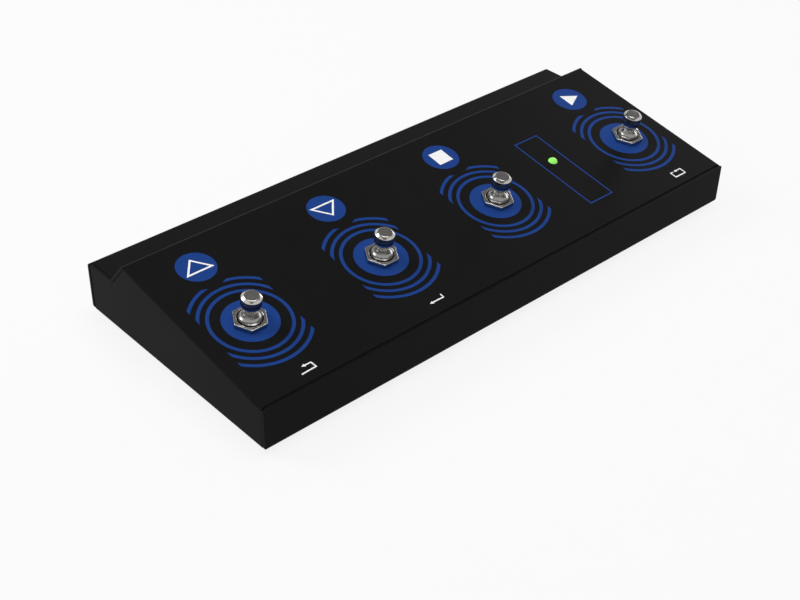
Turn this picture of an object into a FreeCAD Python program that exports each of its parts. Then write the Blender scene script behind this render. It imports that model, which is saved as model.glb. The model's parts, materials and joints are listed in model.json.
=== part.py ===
# Foot controller: a folded steel wedge with four foot switches, an indicator light and two rear sockets.
# Millimetres. +X runs along the row of switches, +Y to the rear, +Z up.
# The origin is on the floor under the middle of the whole controller.
# The model is drawn about the middle of the cover and moved to that origin as it is saved.
import FreeCAD, Part
import math
import os

os.makedirs("parts", exist_ok=True)

# Case sizes
case_w = 301.0            # cover, outside to outside
case_d = 130.2            # foot of the panel's plane to the rear wall's face
wall_out = 1.7            # front wall's face, before the foot of the panel's plane
front_h = 22.3            # foot of the panel's plane, above the case's underside
panel_tilt = 10.0         # slope of the panel, degrees
panel_len = 101.4         # along the slope, to the sharp corner with the riser
riser_tilt = 50.4         # slope of the riser, degrees
ledge_h = 26.4            # ledge above the case's underside
ledge_lip = 4.8           # ledge and rear wall stand out past the cover at the right
cover_t = 1.5             # sheet of the cover
chassis_t = 1.5           # sheet of the chassis
bend_r = 0.9              # inside radius of the cover's bends
chassis_bend_r = 0.8      # inside radius of the chassis's bends
corner_r = 2.5            # lower corners of the front and rear walls
side_bend_r = 0.9         # outside radius where the cover folds into its side walls
foot_h = 2.5              # rubber feet, height
foot_r = 6.0              # rubber feet, radius on the floor
foot_taper = 0.6          # rubber feet, wider at the case by this much
foot_in_x = 16.0          # foot centre, in from the cover's side
foot_in_y = 14.0          # foot centre, in from the front or rear wall

# Gaps between the two sheets
front_seam = 0.7          # groove between the front wall's top edge and the panel
front_drop = 0.2          # front wall's top edge, below the panel's surface
rail_gap = 0.1            # panel's underside to the rail that carries its front edge
rail_w = 10.0             # rail's flange under the panel
rail_h = 12.0             # rail's flange down the front wall
rail_in = 6.0             # rail's end, in from the cover's side
side_seam = 0.15          # side wall's front edge behind the front wall
rear_seam = 0.8           # side wall's rear edge before the rear wall
side_lift = 1.5           # side wall's lower edge above the case's underside
side_gap = 0.25           # side wall to the chassis's plate
slit = 0.4                # riser's underside to the side wall's sloping edge
riser_gap = 0.3           # riser's lower edge above the ledge
ledge_under = 8.0         # ledge goes on below the riser by this much

# Cover fixings
tab_w = 14.0              # tab at the foot of each side wall, across
tab_l = 16.0              # tab, along
tab_y = (-33.0, 35.0)     # tabs' middles
tab_gap = 0.1             # tab above the bottom plate
fix_r = 1.5               # cover screw's shank
fix_head_r = 2.8
fix_head_h = 1.6
fix_tip = 1.2             # screw's end past the press nut
fix_clear = 0.2           # screw in the plate, radial
thread_clear = 0.05       # a screw in its own thread, radial
press_r = 2.1             # press nut's neck
press_head_r = 3.1
press_head_h = 1.8
press_clear = 0.03

# Places on the panel, across from the middle and up the slope from the foot of its plane
switch_in_left = 27.0     # first switch, in from the cover's left side
switch_in_right = 26.0    # last switch, in from the cover's right side
switch_inner = (-48.2, 27.35)
switch_s = 43.1
light_x = 74.7
light_s = 50.0

# Switch: heights are above the panel's top face
barrel_r = 5.9
barrel_clear = 0.2        # barrel in the panel, radial
barrel_top = 4.5
barrel_lip = 2.2          # foot of the flare
barrel_lip_r = 5.35
barrel_shoulder = 1.55    # end of the full thread
flare_r = 3.2             # flare's mouth
barrel_low = -9.4         # underside of the barrel's flange
barrel_flange_t = 1.2
barrel_flange_r = 7.4
nut_af = 14.5
nut_h = 2.2
nut_bevel = 0.25
nut_mouth = 0.4           # bevel round the nut's bore
nut_clear = 0.05
washer_r = 8.2
washer_t = 0.8
low_nut_h = 2.0
neck_r = 2.85
neck_clear = 0.05
head_r = 4.7
head_under = 7.0          # neck meets the head
head_side = 10.2          # head's side turns straight
head_rim = 14.1
head_top = 15.1
head_flat_r = 3.4
head_edge = 0.2
travel = 2.4
collar_r = 4.9
collar_t = 1.2
rest_gap = 0.05           # collar under the barrel, and the last gap at full travel
tail_r = 1.5
body_w = 15.6
body_low = -20.0
cup_r = 5.4
cup_floor = 2.7           # thickness under the cup
spring_in_r = 4.15
spring_out_r = 4.85
spring_gap = 0.05
bridge_l = 7.4
bridge_w = 2.6
bridge_t = 0.5
lug_rise = 0.8            # contact face above the cup's floor
lug_w = 2.0
lug_t = 0.8
lug_x = 2.4               # each lug from the switch's axis
lug_clear = 0.05
lug_out = 1.2             # lug's tail below the board

# Board under the switches
board_t = 1.6
board_top = -22.0
board_end_gap = 5.4       # board's end to the press nuts
board_s = (28.0, 60.0)
chip_w = 12.0
chip_h = 1.4
chip_x = -11.0
chip_s = 45.0
can_l = 11.0
can_w = 4.6
can_h = 3.6
can_x = 7.0
cap_r = 2.6
cap_h = 7.0
cap_x = (-27.0, 52.0, 95.0)
res_l = 3.2
res_w = 1.6
res_h = 0.6
res_pitch = 4.0
res_count = 6
part_s = 54.0

# Indicator light
light_r = 2.45
light_clear = 0.1
light_dome = 1.6
light_rim_r = 2.9
light_rim_t = 1.0
light_rim_gap = 0.4       # rim under the panel
light_len = 5.0           # panel's underside to the lens's foot
leg_w = 0.5
leg_x = 1.27
leg_clear = 0.1
spacer_gap = 0.05

# Rear sockets and their board
socket_in_x = 62.0        # middle of the socket board, in from the cover's left side
socket_board_w = 60.0
socket_board_d = 30.0
socket_board_gap = 3.0    # board's rear edge before the rear wall
pillar_h = 5.0
pillar_r = 2.75
pillar_in = 4.5           # pillar's middle, in from the board's edges
pillar_screw_r = 1.2
pillar_screw_len = 5.0
pillar_head_r = 2.3
pillar_head_h = 1.4
usb_in = 0.2              # square socket beside the pillar screws' heads
usb_w = 12.0
usb_h = 11.0
usb_d = 16.0
usb_wall = 0.4
usb_proud = 0.3
usb_gap = 0.2             # shell in the rear wall's window
wall_gap = 0.1            # round socket's body before the rear wall
plug_w = 8.6
plug_h = 7.9
plug_d = 9.5
plug_bevel = 1.8
tongue_w = 5.6
tongue_h = 3.2
tongue_d = 8.0
jack_in = 1.7             # round socket beside the pillar screws' heads
jack_w = 15.0
jack_h = 12.6
jack_d = 22.0
jack_r = 3.2
jack_nose_r = 4.5
jack_nose_out = 4.2       # nose past the rear wall's face
jack_hole_clear = 0.2
jack_nut_af = 12.0
jack_nut_h = 2.2
jack_bore_d = 19.0        # bore inside the moulded body
pin_w = 0.7
pin_out = 1.5             # pins below the board
pin_clear = 0.1
ribbon_w = 14.0
ribbon_t = 0.3
ribbon_r = 6.0
clip_w = 17.0
clip_d = 5.0
clip_h = 4.0
clip_slot = 0.02          # ribbon in its clip, each side

# Places that follow from the sizes
case_z = foot_h
front_y = -case_d / 2.0
wall_y = front_y - wall_out
rear_y = case_d / 2.0
half_w = case_w / 2.0
switch_x = (switch_in_left - half_w,) + switch_inner + (half_w - switch_in_right,)
tilt = math.radians(panel_tilt)
fall = math.radians(riser_tilt)
corner_y = front_y + panel_len * math.cos(tilt)
corner_z = case_z + front_h + panel_len * math.sin(tilt)
ledge_z = case_z + ledge_h
riser_end_z = ledge_z + riser_gap
riser_end_y = corner_y + (corner_z - riser_end_z) / math.tan(fall)
plate_top = case_z + chassis_t
fix_x = half_w - cover_t - tab_w / 2.0
board_w = 2.0 * (fix_x - press_head_r - board_end_gap)
socket_x = socket_in_x - half_w
middle_x = ledge_lip / 2.0
middle_y = (jack_nose_out - wall_out) / 2.0


def vec(x, y, z):
    return FreeCAD.Vector(x, y, z)


def unit(a, b):
    length = math.hypot(b[0] - a[0], b[1] - a[1])
    return ((b[0] - a[0]) / length, (b[1] - a[1]) / length)


def rounded_face(points, radii):
    """A flat face in the YZ plane from corner points, each with its own radius."""
    count = len(points)
    starts = []
    ends = []
    middles = []
    for i in range(count):
        here = points[i]
        back = unit(here, points[i - 1])
        on = unit(here, points[(i + 1) % count])
        if radii[i] <= 0:
            starts.append(here)
            ends.append(here)
            middles.append(None)
            continue
        half = math.acos(max(-1.0, min(1.0, back[0] * on[0] + back[1] * on[1]))) / 2.0
        run = radii[i] / math.tan(half)
        starts.append((here[0] + back[0] * run, here[1] + back[1] * run))
        ends.append((here[0] + on[0] * run, here[1] + on[1] * run))
        mid = (back[0] + on[0], back[1] + on[1])
        size = math.hypot(mid[0], mid[1])
        reach = radii[i] / math.sin(half) - radii[i]
        middles.append((here[0] + mid[0] / size * reach, here[1] + mid[1] / size * reach))
    edges = []
    for i in range(count):
        if middles[i] is not None:
            a = vec(0, starts[i][0], starts[i][1])
            m = vec(0, middles[i][0], middles[i][1])
            b = vec(0, ends[i][0], ends[i][1])
            edges.append(Part.Arc(a, m, b).toShape())
        p = vec(0, ends[i][0], ends[i][1])
        nxt = starts[(i + 1) % count]
        q = vec(0, nxt[0], nxt[1])
        if (q - p).Length > 1e-6:
            edges.append(Part.makeLine(p, q))
    return Part.Face(Part.Wire(edges))


def along_x(face, x0, x1):
    face = face.copy()
    face.translate(vec(x0, 0, 0))
    return face.extrude(vec(x1 - x0, 0, 0))


def folded_sheet(path, thick, inside_r, x0, x1, last_cut=None):
    """A bent sheet of one thickness, on the left of its path in the YZ plane."""
    normals = []
    for i in range(len(path) - 1):
        d = unit(path[i], path[i + 1])
        normals.append((-d[1], d[0]))
    inner = [(path[0][0] + normals[0][0] * thick, path[0][1] + normals[0][1] * thick)]
    turns = []
    for i in range(1, len(path) - 1):
        a = normals[i - 1]
        b = normals[i]
        k = thick / (1.0 + a[0] * b[0] + a[1] * b[1])
        inner.append((path[i][0] + (a[0] + b[0]) * k, path[i][1] + (a[1] + b[1]) * k))
        turns.append(a[0] * b[1] - a[1] * b[0])
    n = normals[-1]
    cut = last_cut if last_cut else n
    k = thick / (cut[0] * n[0] + cut[1] * n[1])
    inner.append((path[-1][0] + cut[0] * k, path[-1][1] + cut[1] * k))
    outer_r = [0.0]
    inner_r = [0.0]
    for turn in turns:
        outer_r.append(inside_r + thick if turn > 0 else inside_r)
        inner_r.append(inside_r if turn > 0 else inside_r + thick)
    outer_r.append(0.0)
    inner_r.append(0.0)
    points = list(path) + inner[::-1]
    radii = outer_r + inner_r[::-1]
    return along_x(rounded_face(points, radii), x0, x1)


def box(x0, x1, y0, y1, z0, z1):
    return Part.makeBox(x1 - x0, y1 - y0, z1 - z0, vec(x0, y0, z0))


def centred_box(w, d, h, x, y, z):
    return box(x - w / 2.0, x + w / 2.0, y - d / 2.0, y + d / 2.0, z, z + h)


def rod(r, z0, z1, x=0.0, y=0.0):
    return Part.makeCylinder(r, z1 - z0, vec(x, y, z0))


def hexagon(across, z0, z1, x=0.0, y=0.0):
    corner = across / math.sqrt(3.0)
    points = []
    for i in range(7):
        a = math.radians(60.0 * i)
        points.append(vec(x + corner * math.cos(a), y + corner * math.sin(a), z0))
    return Part.Face(Part.makePolygon(points)).extrude(vec(0, 0, z1 - z0))


def turned(edges):
    """A solid of revolution about Z from edges drawn in the XZ plane."""
    return Part.Face(Part.Wire(edges)).revolve(vec(0, 0, 0), vec(0, 0, 1), 360)


def outline(points):
    edges = []
    for i in range(len(points)):
        a = points[i]
        b = points[(i + 1) % len(points)]
        edges.append(Part.makeLine(vec(a[0], 0, a[1]), vec(b[0], 0, b[1])))
    return edges


def as_solid(shape):
    shape = shape.removeSplitter()
    if len(shape.Solids) == 1:
        return shape.Solids[0]
    return shape


panel_frame = FreeCAD.Placement(
    vec(0, front_y, case_z + front_h),
    FreeCAD.Rotation(vec(1, 0, 0), panel_tilt))


def on_panel(shape, x=0.0, s=0.0):
    """Moves a piece drawn about the Z axis to a place on the panel, upright to it."""
    moved = shape.copy()
    moved.Placement = panel_frame.multiply(FreeCAD.Placement(vec(x, s, 0), FreeCAD.Rotation())).multiply(moved.Placement)
    return moved


def save(name, shapes):
    shape = shapes[0] if len(shapes) == 1 else Part.makeCompound(shapes)
    shape = shape.translated(vec(-middle_x, -middle_y, 0))
    shape.exportStep("parts/" + name + ".step")
    print(name, len(shape.Solids), "solid(s)", shape.isValid(), round(shape.Volume, 1))


# Top cover: panel and riser in one folded sheet, with a side wall folded down at each end
def panel_z(y):
    return case_z + front_h + (y - front_y) * math.tan(tilt)


panel_front = wall_y + chassis_t + front_seam
panel_start = (panel_front, panel_z(panel_front))
cover_path = [(riser_end_y, riser_end_z), (corner_y, corner_z), panel_start]
cover = folded_sheet(cover_path, cover_t, bend_r, -half_w, half_w)
foot_cut = box(-case_w, case_w, corner_y, rear_y + case_d, case_z, riser_end_z)
cover = cover.cut(foot_cut)

slope_shift = (cover_t + slit) / math.sin(fall)
top_join = (cover_t + slit) / math.sin(tilt + fall)
peak = (corner_y - top_join * math.cos(tilt), corner_z - top_join * math.sin(tilt))


def side_wall(x0, x1, top_z):
    wall_front = wall_y + chassis_t + side_seam
    wall_rear = rear_y - chassis_t - rear_seam
    low = case_z + side_lift
    knee_y = corner_y - slope_shift + (corner_z - top_z) / math.tan(fall)
    points = [
        (wall_front, low),
        (wall_front, panel_z(wall_front)),
        peak,
        (knee_y, top_z),
        (wall_rear, top_z),
        (wall_rear, low)]
    return along_x(rounded_face(points, [0] * len(points)), x0, x1)


cover = cover.fuse(side_wall(-half_w, -half_w + cover_t, ledge_z))
cover = cover.fuse(side_wall(half_w - cover_t, half_w, ledge_z - chassis_t - slit))
cover = as_solid(cover)
round_to = panel_len - (bend_r + cover_t) * math.tan((tilt + fall) / 2.0)
for side in (-1.0, 1.0):
    x_in = side * (half_w - side_bend_r)
    x_out = side * (half_w + side_bend_r)
    corner = box(min(x_in, x_out), max(x_in, x_out), -cover_t, round_to, -side_bend_r, side_bend_r)
    corner = corner.cut(Part.makeCylinder(side_bend_r, panel_len * 2.0, vec(x_in, -panel_len / 2.0, -side_bend_r), vec(0, 1, 0)))
    cover = cover.cut(on_panel(corner))

tab_z = plate_top + tab_gap
fix_places = []
for side in (-1.0, 1.0):
    wall_in = half_w - cover_t
    for y in tab_y:
        x_a = side * (wall_in + cover_t / 2.0)
        x_b = side * (wall_in - tab_w)
        tab = box(min(x_a, x_b), max(x_a, x_b), y - tab_l / 2.0, y + tab_l / 2.0, tab_z, tab_z + cover_t)
        place = (side * fix_x, y)
        fix_places.append(place)
        cover = cover.fuse(tab)
        cover = cover.cut(rod(press_r + press_clear, tab_z - 1.0, tab_z + cover_t + 1.0, place[0], place[1]))

for x in switch_x:
    cover = cover.cut(on_panel(rod(barrel_r + barrel_clear, -3.0 * cover_t, cover_t), x, switch_s))
cover = cover.cut(on_panel(rod(light_r + light_clear, -3.0 * cover_t, cover_t), light_x, light_s))
save("top_cover", [as_solid(cover)])

# Base chassis: one folded sheet from the front wall's top edge round to the ledge
chassis_path = [
    (wall_y, panel_z(wall_y) - front_drop),
    (wall_y, case_z),
    (rear_y, case_z),
    (rear_y, ledge_z),
    (riser_end_y - ledge_under, ledge_z)]
chassis = folded_sheet(chassis_path, chassis_t, chassis_bend_r, -half_w, half_w + ledge_lip)

plate_half = half_w - cover_t - side_gap
wall_zone_y0 = wall_y + chassis_t
wall_zone_y1 = rear_y - chassis_t
ledge_under_z = ledge_z - chassis_t
left_cut = box(-half_w - 1.0, -plate_half, wall_zone_y0, wall_zone_y1, 0.0, corner_z)
right_cut = box(plate_half, half_w + ledge_lip + 1.0, wall_zone_y0, wall_zone_y1, 0.0, ledge_under_z - chassis_bend_r)
lip_cut = box(half_w, half_w + ledge_lip + 1.0, wall_y - 1.0, riser_end_y, 0.0, corner_z)
inner_cut = box(plate_half, half_w + ledge_lip + 1.0, wall_y, riser_end_y, 0.0, corner_z)
inner_cut = inner_cut.cut(box(plate_half - 1.0, half_w, wall_y - 1.0, wall_zone_y0, 0.0, corner_z))
for cut in (left_cut, right_cut, lip_cut, inner_cut):
    chassis = chassis.cut(cut)


def corner_cutter(x, side):
    """What a rounded lower corner takes off a wall, seen from the front."""
    x_in = x - side * corner_r
    x_out = x + side * corner_r
    cutter = box(min(x_in, x_out), max(x_in, x_out), wall_y - 1.0, rear_y + 1.0, case_z - corner_r, case_z + corner_r)
    return cutter.cut(Part.makeCylinder(
        corner_r, case_d + wall_out + 4.0, vec(x_in, wall_y - 2.0, case_z + corner_r), vec(0, 1, 0)))


front_zone = box(-case_w, case_w, wall_y - 1.0, wall_zone_y0, 0.0, corner_z)
rear_zone = box(-case_w, case_w, wall_zone_y1, rear_y + 1.0, 0.0, corner_z)
chassis = chassis.cut(corner_cutter(-half_w, -1.0).common(front_zone))
chassis = chassis.cut(corner_cutter(half_w, 1.0).common(front_zone))
chassis = chassis.cut(corner_cutter(-half_w, -1.0).common(rear_zone))
chassis = chassis.cut(corner_cutter(half_w + ledge_lip, 1.0).common(rear_zone))

socket_y1 = rear_y - socket_board_gap
socket_y0 = socket_y1 - socket_board_d
socket_z = plate_top + pillar_h
socket_top = socket_z + board_t
socket_side = socket_board_w / 2.0 - pillar_in - pillar_head_r
usb_x = socket_x - socket_side + usb_in + usb_w / 2.0
usb_z = socket_top
usb_rear = rear_y + usb_proud
jack_x = socket_x + socket_side - jack_in - jack_w / 2.0
jack_z = socket_top + jack_h / 2.0
jack_face = rear_y - chassis_t - wall_gap

for x, y in fix_places:
    chassis = chassis.cut(rod(fix_r + fix_clear, case_z - 1.0, plate_top + 1.0, x, y))
window = box(
    usb_x - usb_w / 2.0 - usb_gap, usb_x + usb_w / 2.0 + usb_gap,
    rear_y - 3.0 * chassis_t, rear_y + 1.0,
    usb_z - usb_gap, usb_z + usb_h + usb_gap)
chassis = chassis.cut(window)
nose_hole = Part.makeCylinder(
    jack_nose_r + jack_hole_clear, 4.0 * chassis_t, vec(jack_x, rear_y - 3.0 * chassis_t, jack_z), vec(0, 1, 0))
chassis = chassis.cut(nose_hole)
save("base_chassis", [as_solid(chassis)])

# Rail inside the front wall, under the panel's front edge
rail_y = wall_y + chassis_t
rail_z = panel_z(rail_y) - (cover_t + rail_gap) / math.cos(tilt)
rail_path = [
    (rail_y + rail_w * math.cos(tilt), rail_z + rail_w * math.sin(tilt)),
    (rail_y, rail_z),
    (rail_y, rail_z - rail_h)]
rail_half = half_w - rail_in
save("front_rail", [folded_sheet(rail_path, chassis_t, chassis_bend_r, -rail_half, rail_half)])

# Rubber feet
feet = []
for sx in (-1.0, 1.0):
    for sy in (-1.0, 1.0):
        x = sx * (half_w - foot_in_x)
        y = sy * (rear_y - foot_in_y)
        feet.append(Part.makeCone(foot_r, foot_r + foot_taper, foot_h, vec(x, y, 0)))
save("rubber_feet", feet)

# Cover screws from below, and the press nuts in the tabs
screws = []
press_nuts = []
press_top = tab_z + cover_t + press_head_h
for x, y in fix_places:
    head = rod(fix_head_r, case_z - fix_head_h, case_z, x, y)
    screw = head.fuse(rod(fix_r, case_z - fix_head_h, press_top + fix_tip, x, y))
    screw = screw.cut(hexagon(2.0, case_z - fix_head_h - 1.0, case_z - fix_head_h / 2.5, x, y))
    screws.append(as_solid(screw))
    nut = rod(press_r, tab_z, press_top, x, y).fuse(rod(press_head_r, tab_z + cover_t, press_top, x, y))
    nut = nut.cut(rod(fix_r + thread_clear, tab_z - 1.0, press_top + 1.0, x, y))
    press_nuts.append(as_solid(nut))
save("cover_screws", screws)
save("cover_press_nuts", press_nuts)

# Switch barrel: threaded shank, flange under the panel, and a flared top round the neck
bore_r = neck_r + neck_clear
flare_mid_r = flare_r + (barrel_lip_r - flare_r) * 0.28
flare_mid_z = barrel_lip + (barrel_top - barrel_lip) * 0.28
barrel_points = [
    (bore_r, barrel_low),
    (barrel_flange_r, barrel_low),
    (barrel_flange_r, barrel_low + barrel_flange_t),
    (barrel_r, barrel_low + barrel_flange_t),
    (barrel_r, barrel_shoulder),
    (barrel_lip_r, barrel_lip)]
barrel_edges = []
for a, b in zip(barrel_points[:-1], barrel_points[1:]):
    barrel_edges.append(Part.makeLine(vec(a[0], 0, a[1]), vec(b[0], 0, b[1])))
barrel_edges.append(Part.Arc(
    vec(barrel_lip_r, 0, barrel_lip),
    vec(flare_mid_r, 0, flare_mid_z),
    vec(flare_r, 0, barrel_top)).toShape())
barrel_edges.append(Part.makeLine(vec(flare_r, 0, barrel_top), vec(bore_r, 0, barrel_top)))
barrel_edges.append(Part.makeLine(vec(bore_r, 0, barrel_top), vec(bore_r, 0, barrel_low)))
barrel = turned(barrel_edges)

# Hexagon nuts and the washer under the panel
nut = hexagon(nut_af, 0.0, nut_h)
rim_edges = [e for e in nut.Edges if all(abs(v.Point.z - nut_h) < 1e-6 for v in e.Vertexes)]
nut = nut.makeChamfer(nut_bevel, rim_edges)
nut_bore_r = barrel_r + nut_clear
nut = nut.cut(rod(nut_bore_r, -1.0, nut_h + 1.0))
nut = nut.cut(Part.makeCone(nut_bore_r, nut_bore_r + nut_mouth, nut_mouth, vec(0, 0, nut_h - nut_mouth)))
washer = rod(washer_r, -cover_t - washer_t, -cover_t).cut(rod(nut_bore_r, -cover_t - washer_t - 1.0, 0.0))
low_nut_top = -cover_t - washer_t
low_nut = hexagon(nut_af, low_nut_top - low_nut_h, low_nut_top)
low_nut = low_nut.cut(rod(nut_bore_r, low_nut_top - low_nut_h - 1.0, low_nut_top + 1.0))

# Plunger: turned head and neck with the collar that stops it under the barrel
collar_top = barrel_low - rest_gap
collar_low = collar_top - collar_t
cup_z = body_low + cup_floor
lug_top = cup_z + lug_rise
bridge_low = lug_top + travel + rest_gap
bridge_top = bridge_low + bridge_t
taper_mid_r = neck_r + (head_r - neck_r) * 0.70
taper_mid_z = head_under + (head_side - head_under) * 0.45
button_edges = outline([
    (0.0, bridge_top),
    (tail_r, bridge_top),
    (tail_r, collar_low),
    (collar_r, collar_low),
    (collar_r, collar_top),
    (neck_r, collar_top),
    (neck_r, head_under),
    (head_r, head_side),
    (head_r, head_rim),
    (head_flat_r, head_top),
    (0.0, head_top)])
button_edges[6] = Part.Arc(
    vec(neck_r, 0, head_under),
    vec(taper_mid_r, 0, taper_mid_z),
    vec(head_r, 0, head_side)).toShape()
button = turned(button_edges)
head_edges = []
for edge in button.Edges:
    z = edge.BoundBox
    if z.ZMax - z.ZMin > 1e-6:
        continue
    if abs(z.ZMax - head_rim) < 1e-4 or abs(z.ZMax - head_top) < 1e-4:
        head_edges.append(edge)
button = button.makeFillet(head_edge, head_edges)

# Housing, spring, bridge and lugs
housing = centred_box(body_w, body_w, barrel_low - body_low, 0.0, 0.0, body_low)
housing = housing.cut(rod(cup_r, cup_z, barrel_low + 1.0))
lug_pair = []
board_low = board_top - board_t
for sx in (-1.0, 1.0):
    lug_slot_w = lug_w + 2.0 * lug_clear
    lug_slot_t = lug_t + 2.0 * lug_clear
    housing = housing.cut(centred_box(lug_slot_t, lug_slot_w, cup_floor + 2.0, sx * lug_x, 0.0, body_low - 1.0))
    lug_pair.append(centred_box(lug_t, lug_w, lug_top - board_low + lug_out, sx * lug_x, 0.0, board_low - lug_out))
spring_top = collar_low - spring_gap
spring_low = cup_z + spring_gap
spring = rod(spring_out_r, spring_low, spring_top).cut(rod(spring_in_r, spring_low - 1.0, spring_top + 1.0))
bridge = centred_box(bridge_l, bridge_w, bridge_t, 0.0, 0.0, bridge_low)

barrels = []
top_nuts = []
low_nuts = []
washers = []
for i, x in enumerate(switch_x):
    number = str(i + 1)
    save("switch_bushing_" + number, [on_panel(barrel, x, switch_s)])
    save("button_" + number, [on_panel(button, x, switch_s)])
    save("switch_body_" + number, [on_panel(housing, x, switch_s)])
    save("return_spring_" + number, [on_panel(spring, x, switch_s)])
    save("contact_bridge_" + number, [on_panel(bridge, x, switch_s)])
    save("switch_lugs_" + number, [on_panel(lug, x, switch_s) for lug in lug_pair])
    top_nuts.append(on_panel(nut, x, switch_s))
    low_nuts.append(on_panel(low_nut, x, switch_s))
    washers.append(on_panel(washer, x, switch_s))
save("switch_top_nuts", top_nuts)
save("switch_lower_nuts", low_nuts)
save("switch_lock_washers", washers)

# Indicator light, its legs and the spacer that holds it off the board
lens_foot = -cover_t - light_len
rim_top = -cover_t - light_rim_gap
lens = rod(light_r, lens_foot, 0.0).fuse(rod(light_rim_r, rim_top - light_rim_t, rim_top))
dome_r = (light_r ** 2 + light_dome ** 2) / (2.0 * light_dome)
dome = Part.makeSphere(dome_r, vec(0, 0, light_dome - dome_r)).common(rod(light_r, 0.0, light_dome))
lens = as_solid(lens.fuse(dome))
save("indicator_lens", [on_panel(lens, light_x, light_s)])
spacer = rod(light_rim_r, board_top, lens_foot - spacer_gap)
legs = []
for sx in (-1.0, 1.0):
    hole_w = leg_w + 2.0 * leg_clear
    spacer = spacer.cut(centred_box(hole_w, hole_w, lens_foot - board_top + 2.0, sx * leg_x, 0.0, board_top - 1.0))
    legs.append(on_panel(
        centred_box(leg_w, leg_w, lens_foot - board_low + pin_out, sx * leg_x, 0.0, board_low - pin_out),
        light_x, light_s))
save("indicator_spacer", [on_panel(spacer, light_x, light_s)])
save("indicator_legs", legs)

# Board under the switches, with its parts on top
board_mid_s = (board_s[0] + board_s[1]) / 2.0
board = centred_box(board_w, board_s[1] - board_s[0], board_t, 0.0, board_mid_s, board_low)
for x in switch_x:
    for sx in (-1.0, 1.0):
        board = board.cut(centred_box(
            lug_t + 2.0 * lug_clear, lug_w + 2.0 * lug_clear, board_t + 2.0, x + sx * lug_x, switch_s, board_low - 1.0))
for sx in (-1.0, 1.0):
    board = board.cut(centred_box(
        leg_w + 2.0 * leg_clear, leg_w + 2.0 * leg_clear, board_t + 2.0, light_x + sx * leg_x, light_s, board_low - 1.0))
save("switch_board", [on_panel(board)])
save("controller_chip", [on_panel(centred_box(chip_w, chip_w, chip_h, chip_x, chip_s, board_top))])
save("crystal_can", [on_panel(centred_box(can_l, can_w, can_h, can_x, chip_s, board_top))])
save("board_capacitors", [on_panel(rod(cap_r, board_top, board_top + cap_h, x, part_s)) for x in cap_x])
resistors = []
for i in range(res_count):
    x = chip_x + (i - (res_count - 1) / 2.0) * res_pitch
    resistors.append(on_panel(centred_box(res_w, res_l, res_h, x, part_s, board_top)))
save("board_resistors", resistors)
clip_s = board_s[1] - clip_d / 2.0
ribbon_slot_t = ribbon_t + 2.0 * clip_slot
ribbon_up = board_top + clip_h / 2.0
clip = centred_box(clip_w, clip_d, clip_h, socket_x, clip_s, board_top)
clip = clip.cut(box(
    socket_x - ribbon_w / 2.0 - clip_slot, socket_x + ribbon_w / 2.0 + clip_slot,
    clip_s, board_s[1] + 1.0, ribbon_up - ribbon_slot_t / 2.0, ribbon_up + ribbon_slot_t / 2.0))
save("board_ribbon_socket", [on_panel(clip)])

# Socket board on its pillars
socket_mid_y = (socket_y0 + socket_y1) / 2.0
socket_board = centred_box(socket_board_w, socket_board_d, board_t, socket_x, socket_mid_y, socket_z)
pillars = []
pillar_screws = []
for sx in (-1.0, 1.0):
    for sy in (-1.0, 1.0):
        x = socket_x + sx * (socket_board_w / 2.0 - pillar_in)
        y = socket_mid_y + sy * (socket_board_d / 2.0 - pillar_in)
        socket_board = socket_board.cut(rod(pillar_screw_r + fix_clear, socket_z - 1.0, socket_top + 1.0, x, y))
        hole = rod(pillar_screw_r + thread_clear, socket_top - pillar_screw_len - 0.3, socket_z + 1.0, x, y)
        pillars.append(rod(pillar_r, plate_top, socket_z, x, y).cut(hole))
        screw = rod(pillar_screw_r, socket_top - pillar_screw_len, socket_top + pillar_head_h, x, y)
        screw = screw.fuse(rod(pillar_head_r, socket_top, socket_top + pillar_head_h, x, y))
        screw = screw.cut(hexagon(1.5, socket_top + pillar_head_h / 2.0, socket_top + 2.0 * pillar_head_h, x, y))
        pillar_screws.append(as_solid(screw))

# Square socket: metal shell, moulded inside with its tongue, and its pins
usb_y0 = usb_rear - usb_d
shell = box(usb_x - usb_w / 2.0, usb_x + usb_w / 2.0, usb_y0, usb_rear, usb_z, usb_z + usb_h)
core_w = usb_w - 2.0 * usb_wall
core = box(
    usb_x - core_w / 2.0, usb_x + core_w / 2.0,
    usb_y0 + usb_wall, usb_rear - usb_wall, usb_z + usb_wall, usb_z + usb_h - usb_wall)
shell = shell.cut(box(
    usb_x - core_w / 2.0, usb_x + core_w / 2.0,
    usb_y0 + usb_wall, usb_rear + 1.0, usb_z + usb_wall, usb_z + usb_h - usb_wall))
usb_mid_z = usb_z + usb_h / 2.0
core_face = usb_rear - usb_wall
plug_points = [
    (usb_x - plug_w / 2.0, usb_mid_z - plug_h / 2.0),
    (usb_x + plug_w / 2.0, usb_mid_z - plug_h / 2.0),
    (usb_x + plug_w / 2.0, usb_mid_z + plug_h / 2.0 - plug_bevel),
    (usb_x + plug_w / 2.0 - plug_bevel, usb_mid_z + plug_h / 2.0),
    (usb_x - plug_w / 2.0 + plug_bevel, usb_mid_z + plug_h / 2.0),
    (usb_x - plug_w / 2.0, usb_mid_z + plug_h / 2.0 - plug_bevel)]
plug_wire = [vec(x, core_face - plug_d, z) for x, z in plug_points]
plug_hole = Part.Face(Part.makePolygon(plug_wire + [plug_wire[0]])).extrude(vec(0, plug_d + 1.0, 0))
core = core.cut(plug_hole)
core = core.fuse(box(
    usb_x - tongue_w / 2.0, usb_x + tongue_w / 2.0,
    core_face - plug_d - 0.1, core_face - plug_d + tongue_d,
    usb_mid_z - tongue_h / 2.0, usb_mid_z + tongue_h / 2.0))
usb_pins = []
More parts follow.
